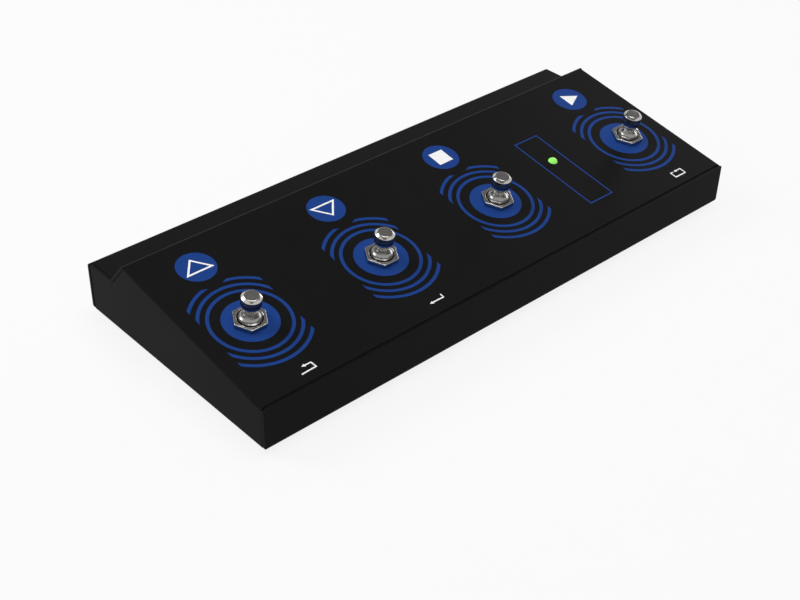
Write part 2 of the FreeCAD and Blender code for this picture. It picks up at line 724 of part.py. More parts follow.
for sx in (-1.0, 1.0):
    for y in (usb_y0 + 2.0, usb_y0 + 4.5):
        x = usb_x + sx * 1.25
        usb_pins.append(centred_box(pin_w, pin_w, usb_z - socket_z + pin_out, x, y, socket_z - pin_out))
        socket_board = socket_board.cut(centred_box(
            pin_w + 2.0 * pin_clear, pin_w + 2.0 * pin_clear, board_t + 2.0, x, y, socket_z - 1.0))
save("usb_shell", [as_solid(shell)])
save("usb_tongue", [as_solid(core)])
save("usb_contacts", usb_pins)

# Round socket for an outside pedal
jack_axis = vec(0, 1, 0)
jack_body = box(jack_x - jack_w / 2.0, jack_x + jack_w / 2.0, jack_face - jack_d, jack_face, socket_top, socket_top + jack_h)
jack_body = jack_body.cut(Part.makeCylinder(
    jack_r + 0.3, jack_bore_d + 1.0, vec(jack_x, jack_face - jack_bore_d, jack_z), jack_axis))
nose_len = rear_y + jack_nose_out - jack_face
nose = Part.makeCylinder(jack_nose_r, nose_len, vec(jack_x, jack_face, jack_z), jack_axis)
nose = nose.cut(Part.makeCylinder(jack_r, nose_len + 2.0, vec(jack_x, jack_face - 1.0, jack_z), jack_axis))
jack_nut = hexagon(jack_nut_af, 0.0, jack_nut_h).cut(rod(jack_nose_r + nut_clear, -1.0, jack_nut_h + 1.0))
jack_nut.Placement = FreeCAD.Placement(vec(jack_x, rear_y, jack_z), FreeCAD.Rotation(vec(1, 0, 0), -90))
jack_pins = []
for sx in (-1.0, 1.0):
    for y in (jack_face - jack_d + 3.0, jack_face - jack_d + 9.0):
        x = jack_x + sx * 5.0
        jack_pins.append(centred_box(pin_w, pin_w, socket_top - socket_z + pin_out, x, y, socket_z - pin_out))
        socket_board = socket_board.cut(centred_box(
            pin_w + 2.0 * pin_clear, pin_w + 2.0 * pin_clear, board_t + 2.0, x, y, socket_z - 1.0))
save("jack_body", [jack_body])
save("jack_nose", [nose])
save("jack_nut", [jack_nut])
save("jack_contacts", jack_pins)
save("socket_board", [as_solid(socket_board)])
save("socket_board_pillars", pillars)
save("socket_board_screws", pillar_screws)

# Flat ribbon between the two boards
low_clip = centred_box(clip_w, clip_d, clip_h, socket_x, socket_y0 + clip_d / 2.0, socket_top)
ribbon_low = socket_top + clip_h / 2.0
low_clip = low_clip.cut(box(
    socket_x - ribbon_w / 2.0 - clip_slot, socket_x + ribbon_w / 2.0 + clip_slot,
    socket_y0 - 1.0, socket_y0 + clip_d / 2.0, ribbon_low - ribbon_slot_t / 2.0, ribbon_low + ribbon_slot_t / 2.0))
save("socket_ribbon_socket", [low_clip])


def panel_point(s, w):
    y = front_y + s * math.cos(tilt) - w * math.sin(tilt)
    z = case_z + front_h + s * math.sin(tilt) + w * math.cos(tilt)
    return (y, z)


start = panel_point(clip_s, ribbon_up - ribbon_t / 2.0)
rise = panel_point(board_s[1] + 9.0, ribbon_up - ribbon_t / 2.0)
ribbon_path = [
    start,
    rise,
    (socket_y0 - 9.0, ribbon_low - ribbon_t / 2.0),
    (socket_y0 + clip_d / 2.0, ribbon_low - ribbon_t / 2.0)]
ribbon = folded_sheet(ribbon_path, ribbon_t, ribbon_r, socket_x - ribbon_w / 2.0, socket_x + ribbon_w / 2.0)
save("ribbon_cable", [ribbon])
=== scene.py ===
# %% [markdown]
# # A foot controller with four foot switches
# This lesson dresses a floor controller: a wedge of folded, powder coated steel with four metal foot
# switches, a printed panel, a green light and two sockets at the back. The construction model already
# holds every piece at its real size, so the first step is to load it as a fixed frame. Whatever is made
# here sits on that frame and moves with its bodies.

# %% Load the frame
import json
import math

import bmesh
import bpy
from mathutils import Matrix, Vector


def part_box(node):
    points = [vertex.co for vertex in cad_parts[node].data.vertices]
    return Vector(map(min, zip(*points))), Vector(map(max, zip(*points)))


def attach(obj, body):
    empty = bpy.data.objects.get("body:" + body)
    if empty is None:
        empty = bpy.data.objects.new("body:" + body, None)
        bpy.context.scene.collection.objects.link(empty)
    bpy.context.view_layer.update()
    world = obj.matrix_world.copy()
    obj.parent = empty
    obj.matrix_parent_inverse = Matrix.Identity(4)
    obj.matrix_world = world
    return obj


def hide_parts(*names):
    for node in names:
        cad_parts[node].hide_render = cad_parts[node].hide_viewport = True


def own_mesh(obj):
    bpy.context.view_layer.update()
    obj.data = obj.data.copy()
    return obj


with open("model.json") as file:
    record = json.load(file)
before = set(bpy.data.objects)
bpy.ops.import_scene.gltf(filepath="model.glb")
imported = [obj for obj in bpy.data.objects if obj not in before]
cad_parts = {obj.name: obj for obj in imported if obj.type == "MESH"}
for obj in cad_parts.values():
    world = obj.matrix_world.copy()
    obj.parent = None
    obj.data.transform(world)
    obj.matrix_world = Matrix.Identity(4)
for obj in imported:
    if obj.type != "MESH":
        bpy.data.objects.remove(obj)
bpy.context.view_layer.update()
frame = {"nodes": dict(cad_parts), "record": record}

print("nodes:", len(frame["nodes"]))

# %% [markdown]
# ## Where the panel lies
# The switches stand square to a panel that slopes by about ten degrees, so most pieces are easiest to
# draw in the panel's own directions: across, up the slope, and out of the surface. The slope is read from
# the direction in which a button slides, and the surface from the underside of the hexagon nuts that lie
# on it. Measuring the frame this way keeps every new piece on the piece that carries it.

# %% The panel's own directions, in millimetres
MM = 0.001
press = Vector(frame["record"]["behaviour"]["joints"][0]["axis"])
across = Vector((1.0, 0.0, 0.0))
out = -press.normalized()
up_slope = out.cross(across)

cover_low, cover_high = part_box("top_cover")
front_y = cover_low.y
middle_x = (cover_low.x + cover_high.x) / 2.0
panel_height = min(v.co.dot(out) for v in frame["nodes"]["switch_top_nuts"].data.vertices)
panel_z = (panel_height - out.y * front_y) / out.z
panel_foot = Vector((middle_x, front_y, panel_z))
turn = Matrix((across, up_slope, out)).transposed().to_4x4()
panel = Matrix.Translation(panel_foot) @ turn @ Matrix.Scale(MM, 4)
to_panel = panel.inverted()
slope = math.degrees(math.atan2(-out.y, out.z))
print("panel slopes by", round(slope, 2), "degrees from", [round(c / MM, 2) for c in panel_foot])


def extent(node):
    """A node's lowest and highest corner in millimetres, along the panel's directions."""
    points = [to_panel @ v.co for v in frame["nodes"][node].data.vertices]
    low = Vector([min(p[i] for p in points) for i in range(3)])
    high = Vector([max(p[i] for p in points) for i in range(3)])
    return low, high


def halfway(low, high):
    """The middle between two corners, number by number."""
    return [(a + b) / 2.0 for a, b in zip(low, high)]


switches = [halfway(*extent("button_%d" % number)) for number in range(1, 5)]
switch_x = [place[0] for place in switches]
switch_s = switches[-1][1]
print("switches across:", [round(x, 2) for x in switch_x], "up the slope:", round(switch_s, 2))

# %% [markdown]
# ## The camera
# The photograph looks down on the left front corner from a little over half a metre away. The camera is
# set by its place and by the direction of its axes. Both were fitted to the circles printed round the
# switches, to the badges and to the edges of the case, as they lie in the picture.

# %% Set the camera
camera_place = Vector((-0.4002, -0.41505, 0.3905))
camera_right = Vector((0.7430, -0.6691, 0.0187)).normalized()
camera_ahead = Vector((0.5487, 0.5929, -0.5894))
camera_up = camera_right.cross(camera_ahead).normalized()
camera_back = camera_right.cross(camera_up)
camera_data = bpy.data.cameras.new("camera")
camera_data.lens = 62.12
camera_data.sensor_width = 36.0
camera = bpy.data.objects.new("camera", camera_data)
camera_turn = Matrix((camera_right, camera_up, camera_back)).transposed().to_4x4()
camera.matrix_world = Matrix.Translation(camera_place) @ camera_turn
bpy.context.collection.objects.link(camera)
bpy.context.scene.camera = camera
bpy.context.scene.view_settings.view_transform = "Standard"
print("camera looks along", [round(c, 3) for c in -camera_back])

# %% [markdown]
# ## Shader sums in plain Python
# A procedural finish is mostly arithmetic: distances, masks and mixes. Wired by hand that becomes a wall
# of Math nodes. Here a small class wraps one socket, and ordinary Python operators add the nodes, so that
# a printed ring can be written as a distance and a width. Every other node comes from one method that
# takes the node's type, its settings, and the values or links of its sockets.


# %% Wrap a socket, and build a finish
def adding(operation, swapped=False):
    """A method that adds one Math node for an operation on a wire and its operands."""
    def method(wire, *others):
        values = (*others, wire) if swapped else (wire, *others)
        return wire.finish.node("ShaderNodeMath", {"operation": operation}, dict(enumerate(values)))
    return method


class Wire:
    """One output socket of a node, ready for arithmetic."""

    __add__ = __radd__ = adding("ADD")
    __sub__ = adding("SUBTRACT")
    __rsub__ = adding("SUBTRACT", swapped=True)
    __mul__ = __rmul__ = adding("MULTIPLY")
    __truediv__ = adding("DIVIDE")
    __pow__ = adding("POWER")
    __abs__ = adding("ABSOLUTE")
    least = adding("MINIMUM")
    most = adding("MAXIMUM")
    sine = adding("SINE")

    def __init__(self, finish, socket):
        self.finish = finish
        self.socket = socket

    def clamped(self):
        return self.most(0.0).least(1.0)

    def also(self, name):
        """Another output of the same node."""
        return Wire(self.finish, self.socket.node.outputs[name])


class Finish:
    """A procedural material, or world, under construction."""

    def __init__(self, name, kind="materials"):
        self.owner = getattr(bpy.data, kind).new(name)
        self.owner.use_nodes = True
        self.tree = self.owner.node_tree
        self.tree.nodes.clear()

    def node(self, kind, settings=None, inputs=None, output=0):
        """Adds a node: its settings first, then its sockets' values or links. Gives one output."""
        made = self.tree.nodes.new(kind)
        for key, value in (settings or {}).items():
            setattr(made, key, value)
        for key, value in (inputs or {}).items():
            if isinstance(value, Wire):
                self.tree.links.new(value.socket, made.inputs[key])
            else:
                made.inputs[key].default_value = value
        return Wire(self, made.outputs[output])

    def place(self, turned=(0.0, 0.0, 0.0), origin=(0.0, 0.0, 0.0), unit=(1.0, 1.0, 1.0)):
        """Object coordinates as read in a frame with its own origin, turn and unit along each axis."""
        raw = self.node("ShaderNodeTexCoord", output="Object")
        inputs = {"Vector": raw, "Location": origin, "Rotation": turned, "Scale": unit}
        return self.node("ShaderNodeMapping", {"vector_type": "TEXTURE"}, inputs)

    def noise(self, where, scale, detail=2.0, roughness=0.5):
        inputs = {"Vector": where, "Scale": scale, "Detail": detail, "Roughness": roughness}
        return self.node("ShaderNodeTexNoise", {"noise_dimensions": "3D"}, inputs)

    def blend(self, amount, first, second):
        """A colour between two colours."""
        inputs = {"Factor": amount, 6: first, 7: second}
        return self.node("ShaderNodeMix", {"data_type": "RGBA"}, inputs, 2)

    def bump(self, height, strength, distance):
        inputs = {"Height": height, "Strength": strength, "Distance": distance}
        return self.node("ShaderNodeBump", inputs=inputs)

    def surface(self, **sockets):
        """The Principled shader, from socket names written with underscores."""
        inputs = {key.replace("_", " "): value for key, value in sockets.items()}
        shader = self.node("ShaderNodeBsdfPrincipled", inputs=inputs)
        return self.close("ShaderNodeOutputMaterial", shader)

    def close(self, kind, shader):
        """Ends the tree in its output node."""
        end = self.tree.nodes.new(kind)
        self.tree.links.new(shader.socket, end.inputs["Surface"])
        return self.owner


def paint(red, green, blue):
    """A screen colour from 0 to 255 as the linear colour that a shader takes."""
    linear = []
    for value in (red, green, blue):
        share = value / 255.0
        linear.append(share / 12.92 if share <= 0.04045 else ((share + 0.055) / 1.055) ** 2.4)
    return (*linear, 1.0)


print("mid grey in linear values:", [round(c, 3) for c in paint(128, 128, 128)[:3]])

# %% [markdown]
# ## Powder coated sheet
# The case is steel sheet under a black powder coat. Powder melts into a skin with a fine orange peel, so
# light breaks up softly on it. It could be a flat dark grey, but then every face would look like card.
# Here two sizes of noise lift the skin a few hundredths of a millimetre, and a slow noise changes the
# gloss, as hands and shoes do. The same skin carries the print on the panel, so it is a function.

# %% The skin of powder coat
coat_black = paint(17, 17, 18)
coat_worn = paint(25, 25, 26)
coat_gloss = 0.03


def powder_skin(finish):
    """Roughness and normal of the coat, with its slow colour change from 0 to 1."""
    where = finish.place()
    peel = finish.noise(where, 900.0, 2.0)
    grain = finish.noise(where, 3200.0, 1.0)
    cloud = finish.noise(where, 14.0, 3.0, 0.6)
    smudge = finish.noise(where, 42.0, 4.0, 0.65)
    roughness = 0.40 + 0.12 * cloud + 0.06 * smudge + 0.04 * grain
    height = peel * 0.7 + grain * 0.3
    return roughness, finish.bump(height, 0.35, 0.00006), cloud * 0.6 + smudge * 0.4


def powder_coat(name):
    finish = Finish(name)
    roughness, normal, wear = powder_skin(finish)
    colour = finish.blend(wear, coat_black, coat_worn)
    return finish.surface(
        Base_Color=colour, Roughness=roughness, Normal=normal, Specular_IOR_Level=coat_gloss)


powder_black = powder_coat("powder_black")
print("powder coat nodes:", len(powder_black.node_tree.nodes))

# %% [markdown]
# ## The printed panel
# Blue discs and rings are screen printed round each switch, with a badge behind it, a thin outlined
# window beside the light, and white symbols. Everything is a distance: a ring is where the distance to
# the switch lies between two radii, a triangle is where the greatest of three half-plane distances is
# below nothing, and a line is where the distance to a segment is below half its width. The four switches
# stand in one row, so the least of four distances across gives all the rings in one sum.

# %% Distances for printing
disc_x = (-122.99, -48.23, 26.45, 122.51)
disc_s = 43.15
badge_s = 83.29
badge_r = 9.43
disc_r = 12.98
ring_bands = ((17.81, 19.46), (21.89, 23.53), (26.00, 27.65))
ring_half_width = 19.7
badge_clearance = 14.85
ink_edge = 0.06


def inside(distance):
    """1 where a signed distance in millimetres is below nothing, with a thin soft edge."""
    return (0.5 - distance / ink_edge).clamped()


def length_of(first, second):
    return (first * first + second * second) ** 0.5


def segment(x, s, start, end):
    """Distance to a straight stroke."""
    run = (end[0] - start[0], end[1] - start[1])
    square = run[0] ** 2 + run[1] ** 2
    along = (((x - start[0]) * run[0] + (s - start[1]) * run[1]) / square).clamped()
    return length_of(x - start[0] - along * run[0], s - start[1] - along * run[1])


def convex(x, s, corners):
    """Greatest distance past the sides of a shape whose corners run anticlockwise."""
    past = None
    for start, end in zip(corners, corners[1:] + corners[:1]):
        size = math.dist(start, end)
        normal = ((end[1] - start[1]) / size, (start[0] - end[0]) / size)
        side = x * normal[0] + s * normal[1] - (start[0] * normal[0] + start[1] * normal[1])
        past = side if past is None else past.most(side)
    return past


# %% Masks of the print
badge_line = 0.47
icon_line = 0.35
window_low = (66.8, 15.7)
window_high = (82.6, 69.9)
window_line = 0.38


def blue_print(x, s):
    """Discs, rings, badges and the outlined window."""
    offset = abs(x - disc_x[0])
    for centre in disc_x[1:]:
        offset = offset.least(abs(x - centre))
    from_switch = length_of(offset, s - disc_s)
    from_badge = length_of(offset, s - badge_s)
    shapes = inside(from_switch - disc_r).most(inside(from_badge - badge_r))
    in_strip = inside(offset - ring_half_width)
    off_badge = inside(badge_clearance - from_badge)
    for index, (inner, outer) in enumerate(ring_bands):
        middle = (inner + outer) / 2.0
        ring = inside(abs(from_switch - middle) - (outer - inner) / 2.0)
        if index > 0:
            ring = ring * in_strip
        if index > 1:
            ring = ring * off_badge
        shapes = shapes.most(ring)
    middle = halfway(window_low, window_high)
    half = [(b - a) / 2.0 for a, b in zip(window_low, window_high)]
    from_window = (abs(x - middle[0]) - half[0]).most(abs(s - middle[1]) - half[1])
    return shapes.most(inside(abs(from_window) - window_line))


back_corners = [(0.0, 4.95), (-6.5, -3.06), (6.5, -3.06)]
forward_corners = [(6.6, 3.05), (-6.5, 3.05), (0.0, -5.1)]
stop_half = (4.4, 4.55)
play_corners = [(-2.9, 4.8), (-2.9, -4.7), (6.3, 0.0)]


def badge_symbols(x, s):
    """Back, forward, stop and play, in white on the badges."""
    y = s - badge_s
    back = convex(x - disc_x[0], y, back_corners)
    forward = convex(x - disc_x[1], y, forward_corners)
    stop = (abs(x - disc_x[2]) - stop_half[0]).most(abs(y) - stop_half[1])
    play = convex(x - disc_x[3], y, play_corners)
    shapes = inside(abs(back) - badge_line).most(inside(abs(forward) - badge_line))
    return shapes.most(inside(stop)).most(inside(play))


icon_strokes = (
    ((-124.3, 5.8), (-116.6, 6.1)), ((-116.6, 6.1), (-117.0, 9.2)), ((-117.0, 9.2), (-120.6, 9.3)),
    ((-42.0, 9.1), (-42.0, 7.1)), ((-42.0, 7.1), (-49.0, 7.2)),
    ((121.5, 9.3), (122.9, 9.3)), ((121.5, 9.3), (121.5, 5.7)), ((121.5, 5.7), (128.9, 5.7)),
    ((128.9, 5.7), (128.9, 9.3)), ((128.9, 9.3), (125.3, 9.3)))
icon_heads = ((-122.1, 9.3), (-50.3, 7.2), (123.8, 9.3))
head_length = 1.9
head_half = 0.9
head_corners = [(0.0, 0.0), (head_length, -head_half), (head_length, head_half)]


def icons(x, s):
    """Small white arrows in front of three of the switches."""
    shapes = None
    for start, end in icon_strokes:
        stroke = inside(segment(x, s, start, end) - icon_line)
        shapes = stroke if shapes is None else shapes.most(stroke)
    for tip in icon_heads:
        shapes = shapes.most(inside(convex(x - tip[0], s - tip[1], head_corners)))
    return shapes


print("strokes:", len(icon_strokes), "arrow heads:", len(icon_heads))

# %% [markdown]
# ## Ink over powder coat
# The ink is a little smoother than the coat under it and fills part of its grain. The masks are worked
# out on Object coordinates that a Mapping node turns by the panel's slope, so they lie on the sheet and
# stay there from any side. Only points close to the panel's top face take ink.

# %% The printed coat
panel_turn = (math.radians(slope), 0.0, 0.0)
millimetres = (MM, MM, MM)
ink_blue = paint(33, 69, 142)
ink_thin = paint(30, 64, 134)
ink_white = paint(255, 255, 255)
ink_reach = 0.4


def printed_coat(name):
    finish = Finish(name)
    roughness, normal, wear = powder_skin(finish)
    flat = finish.place(panel_turn, tuple(panel_foot), millimetres)
    x = finish.node("ShaderNodeSeparateXYZ", inputs={"Vector": flat})
    s = x.also("Y")
    on_top = inside(abs(x.also("Z")) - ink_reach)
    blue = blue_print(x, s) * on_top
    white = badge_symbols(x, s).most(icons(x, s)) * on_top
    coat = finish.blend(wear, coat_black, coat_worn)
    ink = finish.blend(finish.noise(flat, 0.9, 3.0), ink_thin, ink_blue)
    colour = finish.blend(white, finish.blend(blue, coat, ink), ink_white)
    roughness = roughness - 0.06 * blue.most(white)
    return finish.surface(
        Base_Color=colour, Roughness=roughness, Normal=normal, Specular_IOR_Level=coat_gloss)


printed_black = printed_coat("printed_black")
print("printed coat nodes:", len(printed_black.node_tree.nodes))

# %% [markdown]
# ## Metals
# The heads, barrels and nuts are turned and nickel plated: satin on the heads and the panel's nuts,
# duller on the bells of the barrels, and a dark copy on their threads that paints the shade inside the
# nuts. A lathe leaves rings round the axis. Here the grain is a noise that is stretched in the panel's
# plane and fine across it, which gives every switch its rings at once. Zinc on the screws and lock nuts
# is duller and blotched, and in gloss the tin and gold on contacts lie between nickel and zinc. One
# function makes them all.


# %% Turned and plated metals
def metal(name, dark, light, rough, grain, along, clouds):
    """A metal with tool marks, stretched by a factor along each direction of the panel."""
    finish = Finish(name)
    marks = finish.noise(finish.place(panel_turn, unit=along), grain, 3.0, 0.6)
    where = finish.place()
    cloud = finish.noise(where, clouds, 3.0, 0.6)
    rub = finish.noise(where, clouds * 5.0, 4.0, 0.7)
    colour = finish.blend(cloud * 0.6 + marks * 0.4, dark, light)
    roughness = rough + 0.10 * rub + 0.08 * marks
    normal = finish.bump(marks * 0.8 + rub * 0.2, strength=0.25, distance=0.00002)
    return finish.surface(Base_Color=colour, Roughness=roughness, Normal=normal, Metallic=1.0)


turned_marks = (12.0, 12.0, 1.0)
satin_nickel = metal(
    "satin_nickel", paint(172, 170, 166), paint(196, 194, 190), rough=0.08, grain=6500.0,
    along=turned_marks, clouds=160.0)
dull_nickel = metal(
    "dull_nickel", paint(128, 127, 125), paint(154, 153, 151), rough=0.14, grain=6500.0,
    along=turned_marks, clouds=160.0)
# A dark copy of the nickel for the threads: painted shade, which darkens the ring inside each nut.
shaded_thread = metal(
    "shaded_thread", paint(20, 19, 18), paint(44, 42, 39), rough=0.34, grain=6500.0,
    along=turned_marks, clouds=160.0)
zinc_steel = metal(
    "zinc_steel", paint(150, 152, 154), paint(196, 198, 198), rough=0.32, grain=2600.0,
    along=turned_marks, clouds=420.0)
spring_steel = metal(
    "spring_steel", paint(140, 140, 142), paint(176, 176, 178), rough=0.24, grain=5200.0,
    along=(1.0, 1.0, 4.0), clouds=300.0)
tin_plate = metal(
    "tin_plate", paint(186, 186, 184), paint(214, 214, 210), rough=0.20, grain=1800.0,
    along=(1.0, 6.0, 1.0), clouds=260.0)
gold_plate = metal(
    "gold_plate", paint(196, 160, 84), paint(226, 192, 112), rough=0.20, grain=3000.0,
    along=(1.0, 4.0, 1.0), clouds=300.0)
print(
    "metals:", satin_nickel.name, dull_nickel.name, zinc_steel.name, spring_steel.name, tin_plate.name,
    gold_plate.name)

# %% [markdown]
# ## Moulded plastics and rubber
# Switch housings and sockets are moulded in spark eroded tools, which leaves an even fine grain, and the
# rubber feet are duller, with dust in their pores. They differ only in colour, gloss and grain.


# %% Plastics and rubber
def moulded(name, dark, light, rough, grain, depth):
    finish = Finish(name)
    where = finish.place()
    pores = finish.noise(where, grain, 3.0, 0.55)
    flow = finish.noise(where, grain * 0.03, 3.0, 0.6)
    colour = finish.blend(flow * 0.7 + pores * 0.3, dark, light)
    roughness = rough + 0.12 * flow + 0.10 * pores
    normal = finish.bump(pores, strength=0.4, distance=depth)
    return finish.surface(Base_Color=colour, Roughness=roughness, Normal=normal)


housing_plastic = moulded(
    "housing_plastic", paint(24, 24, 25), paint(36, 36, 38), rough=0.36, grain=2600.0, depth=0.00003)
foot_rubber = moulded(
    "foot_rubber", paint(20, 20, 20), paint(38, 37, 36), rough=0.70, grain=1500.0, depth=0.00008)
chip_black = moulded(
    "chip_black", paint(22, 22, 24), paint(34, 34, 36), rough=0.48, grain=4200.0, depth=0.00002)
clip_cream = moulded(
    "clip_cream", paint(206, 196, 170), paint(224, 216, 192), rough=0.34, grain=2200.0, depth=0.00002)
sleeve_blue = moulded(
    "sleeve_blue", paint(24, 30, 44), paint(34, 42, 60), rough=0.26, grain=1800.0, depth=0.00002)
print("plastics:", housing_plastic.name, foot_rubber.name, clip_cream.name)

# %% [markdown]
# ## Circuit boards, ribbon and light
# A board is glass fibre under green lacquer. Copper tracks show through as slightly raised, paler lines,
# which two crossed sets of thin bands give. The grey ribbon is a row of wires side by side, so its height
# is a row of half waves across, and the same waves paint the grooves between the wires darker: painted
# shade. The light is clear green resin that is lit from inside: it glows everywhere, and its paler colour
# where it faces the eye is a painted highlight.


# %% Board, ribbon and lens
def board_lacquer(name):
    finish = Finish(name)
    flat = finish.place(panel_turn, unit=millimetres)
    parts = finish.node("ShaderNodeSeparateXYZ", inputs={"Vector": flat})
    wander = finish.noise(flat, 0.05, 1.0) * 9.0
    rows = inside(abs(((parts.also("Y") + wander) * 1.9).sine()) - 0.32)
    columns = inside(abs(((parts + wander) * 1.1).sine()) - 0.10)
    copper = rows.most(columns)
    weave = finish.noise(flat, 1.4, 2.0)
    colour = finish.blend(copper * 0.7 + weave * 0.2, paint(14, 62, 38), paint(48, 112, 66))
    normal = finish.bump(copper, 0.5, 0.00004)
    return finish.surface(
        Base_Color=colour, Roughness=0.28 + 0.12 * weave, Normal=normal, Coat_Weight=0.4 * weave,
        Coat_Roughness=0.12)


wire_pitch = 1.27


def ribbon_jacket(name):
    finish = Finish(name)
    flat = finish.place(unit=millimetres)
    x = finish.node("ShaderNodeSeparateXYZ", inputs={"Vector": flat})
    ribs_and_groove_shade = abs((x * (math.pi / wire_pitch)).sine())
    haze = finish.noise(flat, 0.6, 3.0)
    # Paler crests and darker grooves between the wires are painted shade; the same waves give the bump.
    colour = finish.blend(ribs_and_groove_shade * 0.7 + haze * 0.3, paint(96, 98, 102), paint(168, 170, 174))
    normal = finish.bump(ribs_and_groove_shade, 0.8, 0.0002)
    return finish.surface(Base_Color=colour, Roughness=0.42 + 0.1 * haze, Normal=normal)


def lit_resin(name):
    finish = Finish(name)
    where = finish.place(unit=millimetres)
    milk = finish.noise(where, 1.1, 2.0)
    facing = finish.node("ShaderNodeLayerWeight", inputs={"Blend": 0.35}, output="Facing")
    # Paler emission where the dome faces the eye is a painted highlight; the glow itself is the lit
    # diode.
    glow_and_highlight = finish.blend(facing, paint(166, 250, 118), paint(78, 190, 36))
    colour = finish.blend(milk, paint(110, 205, 60), paint(140, 225, 90))
    return finish.surface(
        Base_Color=colour, Roughness=0.10 + 0.08 * milk, Emission_Color=glow_and_highlight, Emission_Strength=0.46,
        IOR=1.5)


board_green = board_lacquer("board_green")
ribbon_grey = ribbon_jacket("ribbon_grey")
lens_green = lit_resin("lens_green")
print("electronics:", board_green.name, ribbon_grey.name, lens_green.name)

# %% [markdown]
# ## From a mesh under construction to a finished piece
# Every new piece ends the same way: doubled points are merged, faces are turned outwards, the mesh is
# shaded smooth except at sharp edges, the piece hangs on the body it rides on, takes its finish, and the
# frame's node that it stands for is hidden. Pieces are drawn in millimetres about an upright axis, so a
# list of matrices says where copies of them go. The object itself stays at the origin.


# %% Finish a piece
def finished(name, mesh, body, stands_for, material, sharp=32.0):
    """Puts the drawn mesh into the scene, hangs it on its body and hides the nodes it stands for."""
    bmesh.ops.remove_doubles(mesh, verts=mesh.verts, dist=0.0000005)
    bmesh.ops.recalc_face_normals(mesh, faces=mesh.faces)
    data = bpy.data.meshes.new(name)
    mesh.to_mesh(data)
    mesh.free()
    data.shade_smooth()
    data.set_sharp_from_angle(angle=math.radians(sharp))
    data.materials.append(material)
    piece = bpy.data.objects.new(name, data)
    bpy.context.collection.objects.link(piece)
    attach(piece, body)
    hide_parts(*stands_for)
    print(name, "faces:", len(data.polygons))
    return piece


def copies(mesh, places, joined=None):
    """One mesh with a copy of a drawn mesh at each place, added to another mesh where one is given."""
    if joined is None:
        joined = bmesh.new()
    drawn = bpy.data.meshes.new("drawn")
    mesh.to_mesh(drawn)
    mesh.free()
    for place in places:
        before = len(joined.verts)
        joined.from_mesh(drawn)
        joined.verts.ensure_lookup_table()
        bmesh.ops.transform(joined, matrix=place, verts=joined.verts[before:])
    bpy.data.meshes.remove(drawn)
    return joined


def placed(name, mesh, places, slot, material, *stands_for, body="case"):
    """Copies of a drawn mesh, finished as one piece."""
    return finished(name, copies(mesh, places), body, stands_for, material)


# %% Places for copies
to_metres = Matrix.Scale(MM, 4)
head_down = Matrix.Rotation(math.pi, 4, "X") @ to_metres


def upright(x, s, w=0.0):
    """A place on the panel, with the piece's axis square to it."""
    return panel @ Matrix.Translation((x, s, w))


def at_corners(node, radius, hanging=False):
    """Places of four round pieces in the corners of a node's box, and its height in millimetres."""
    low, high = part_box(node)
    reach = radius * MM
    z, stance = (high.z, head_down) if hanging else (low.z, to_metres)
    places = []
    for x in (low.x + reach, high.x - reach):
        for y in (low.y + reach, high.y - reach):
            places.append(Matrix.Translation((x, y, z)) @ stance)
    return places, (high.z - low.z) / MM


def filling(low_corner, high_corner):
    """The matrix that makes a unit cube fill the box between two corners."""
    size = [b - a for a, b in zip(low_corner, high_corner)]
    return Matrix.Translation(halfway(low_corner, high_corner)) @ Matrix.Diagonal((*size, 1.0))


# %% [markdown]
# ## Folded sheets with painted edges
# The cover and the chassis are bent from flat sheet, and the frame holds their exact outline, holes and
# bends. What it lacks is the soft edge that a thick coat leaves on every cut, which is what catches the
# light. They could be drawn again face by face, but a copy of the frame's mesh keeps every fit: its loose
# triangles are merged, its flat faces dissolved into one, and a Bevel modifier rounds what is left of the
# sharp edges. Weighted normals keep the broad faces flat in shading.

# %% Soften the edges of a sheet or a moulding
soft_angle = 40.0


def softened(node, width, material, body="case", segments=2):
    """A copy of a node with its edges rounded by a width in millimetres."""
    mesh = bmesh.new()
    mesh.from_mesh(frame["nodes"][node].data)
    bmesh.ops.remove_doubles(mesh, verts=mesh.verts, dist=0.000002)
    bmesh.ops.dissolve_limit(mesh, angle_limit=math.radians(0.6), verts=mesh.verts, edges=mesh.edges)
    piece = finished(node + "_soft", mesh, body, [node], material, soft_angle)
    edge = piece.modifiers.new("edge", "BEVEL")
    edge.width = width * MM
    edge.segments = segments
    edge.limit_method = "ANGLE"
    edge.angle_limit = math.radians(soft_angle)
    edge.miter_outer = "MITER_ARC"
    piece.modifiers.new("normals", "WEIGHTED_NORMAL").keep_sharp = True


softened("top_cover", 0.32, printed_black)
softened("base_chassis", 0.32, powder_black)
softened("front_rail", 0.25, powder_black)

# %% [markdown]
# ## Powder in the front groove
# A narrow groove runs between the front wall and the panel. Left open it would be a nearly black line,
# but wet powder gathers in a gap and fills most of its depth. A strip laid in the groove does that, given
# by its two corners in the panel's directions.

# %% Powder in the front groove
groove_low = (-148.5, -0.15, -1.55)
groove_high = (148.5, 0.56, -0.40)
strip = bmesh.new()
bmesh.ops.create_cube(strip, size=1.0)
placed("groove_powder", strip, [panel @ filling(groove_low, groove_high)], "powder_black", powder_black)

# %% [markdown]
# ## Turned pieces
# A foot switch is mostly lathe work: the head and its neck, and the threaded barrel round it. On a lathe
# the shape is one outline, and in Blender it is the same: a few points for half the section, joined by
# edges, with rounded corners made by a vertex bevel, and spun once round the axis. The spin merges its
# last step with its first, so the skin is closed.


# %% Turn an outline about the upright axis
def rounded(mesh, parts, size, segments, affect="EDGES"):
    """Rounds edges, or the corners of an outline, by a size."""
    bmesh.ops.bevel(
        mesh, geom=parts, offset=size, offset_type="OFFSET", segments=segments, profile=0.5,
        affect=affect, material=-1)


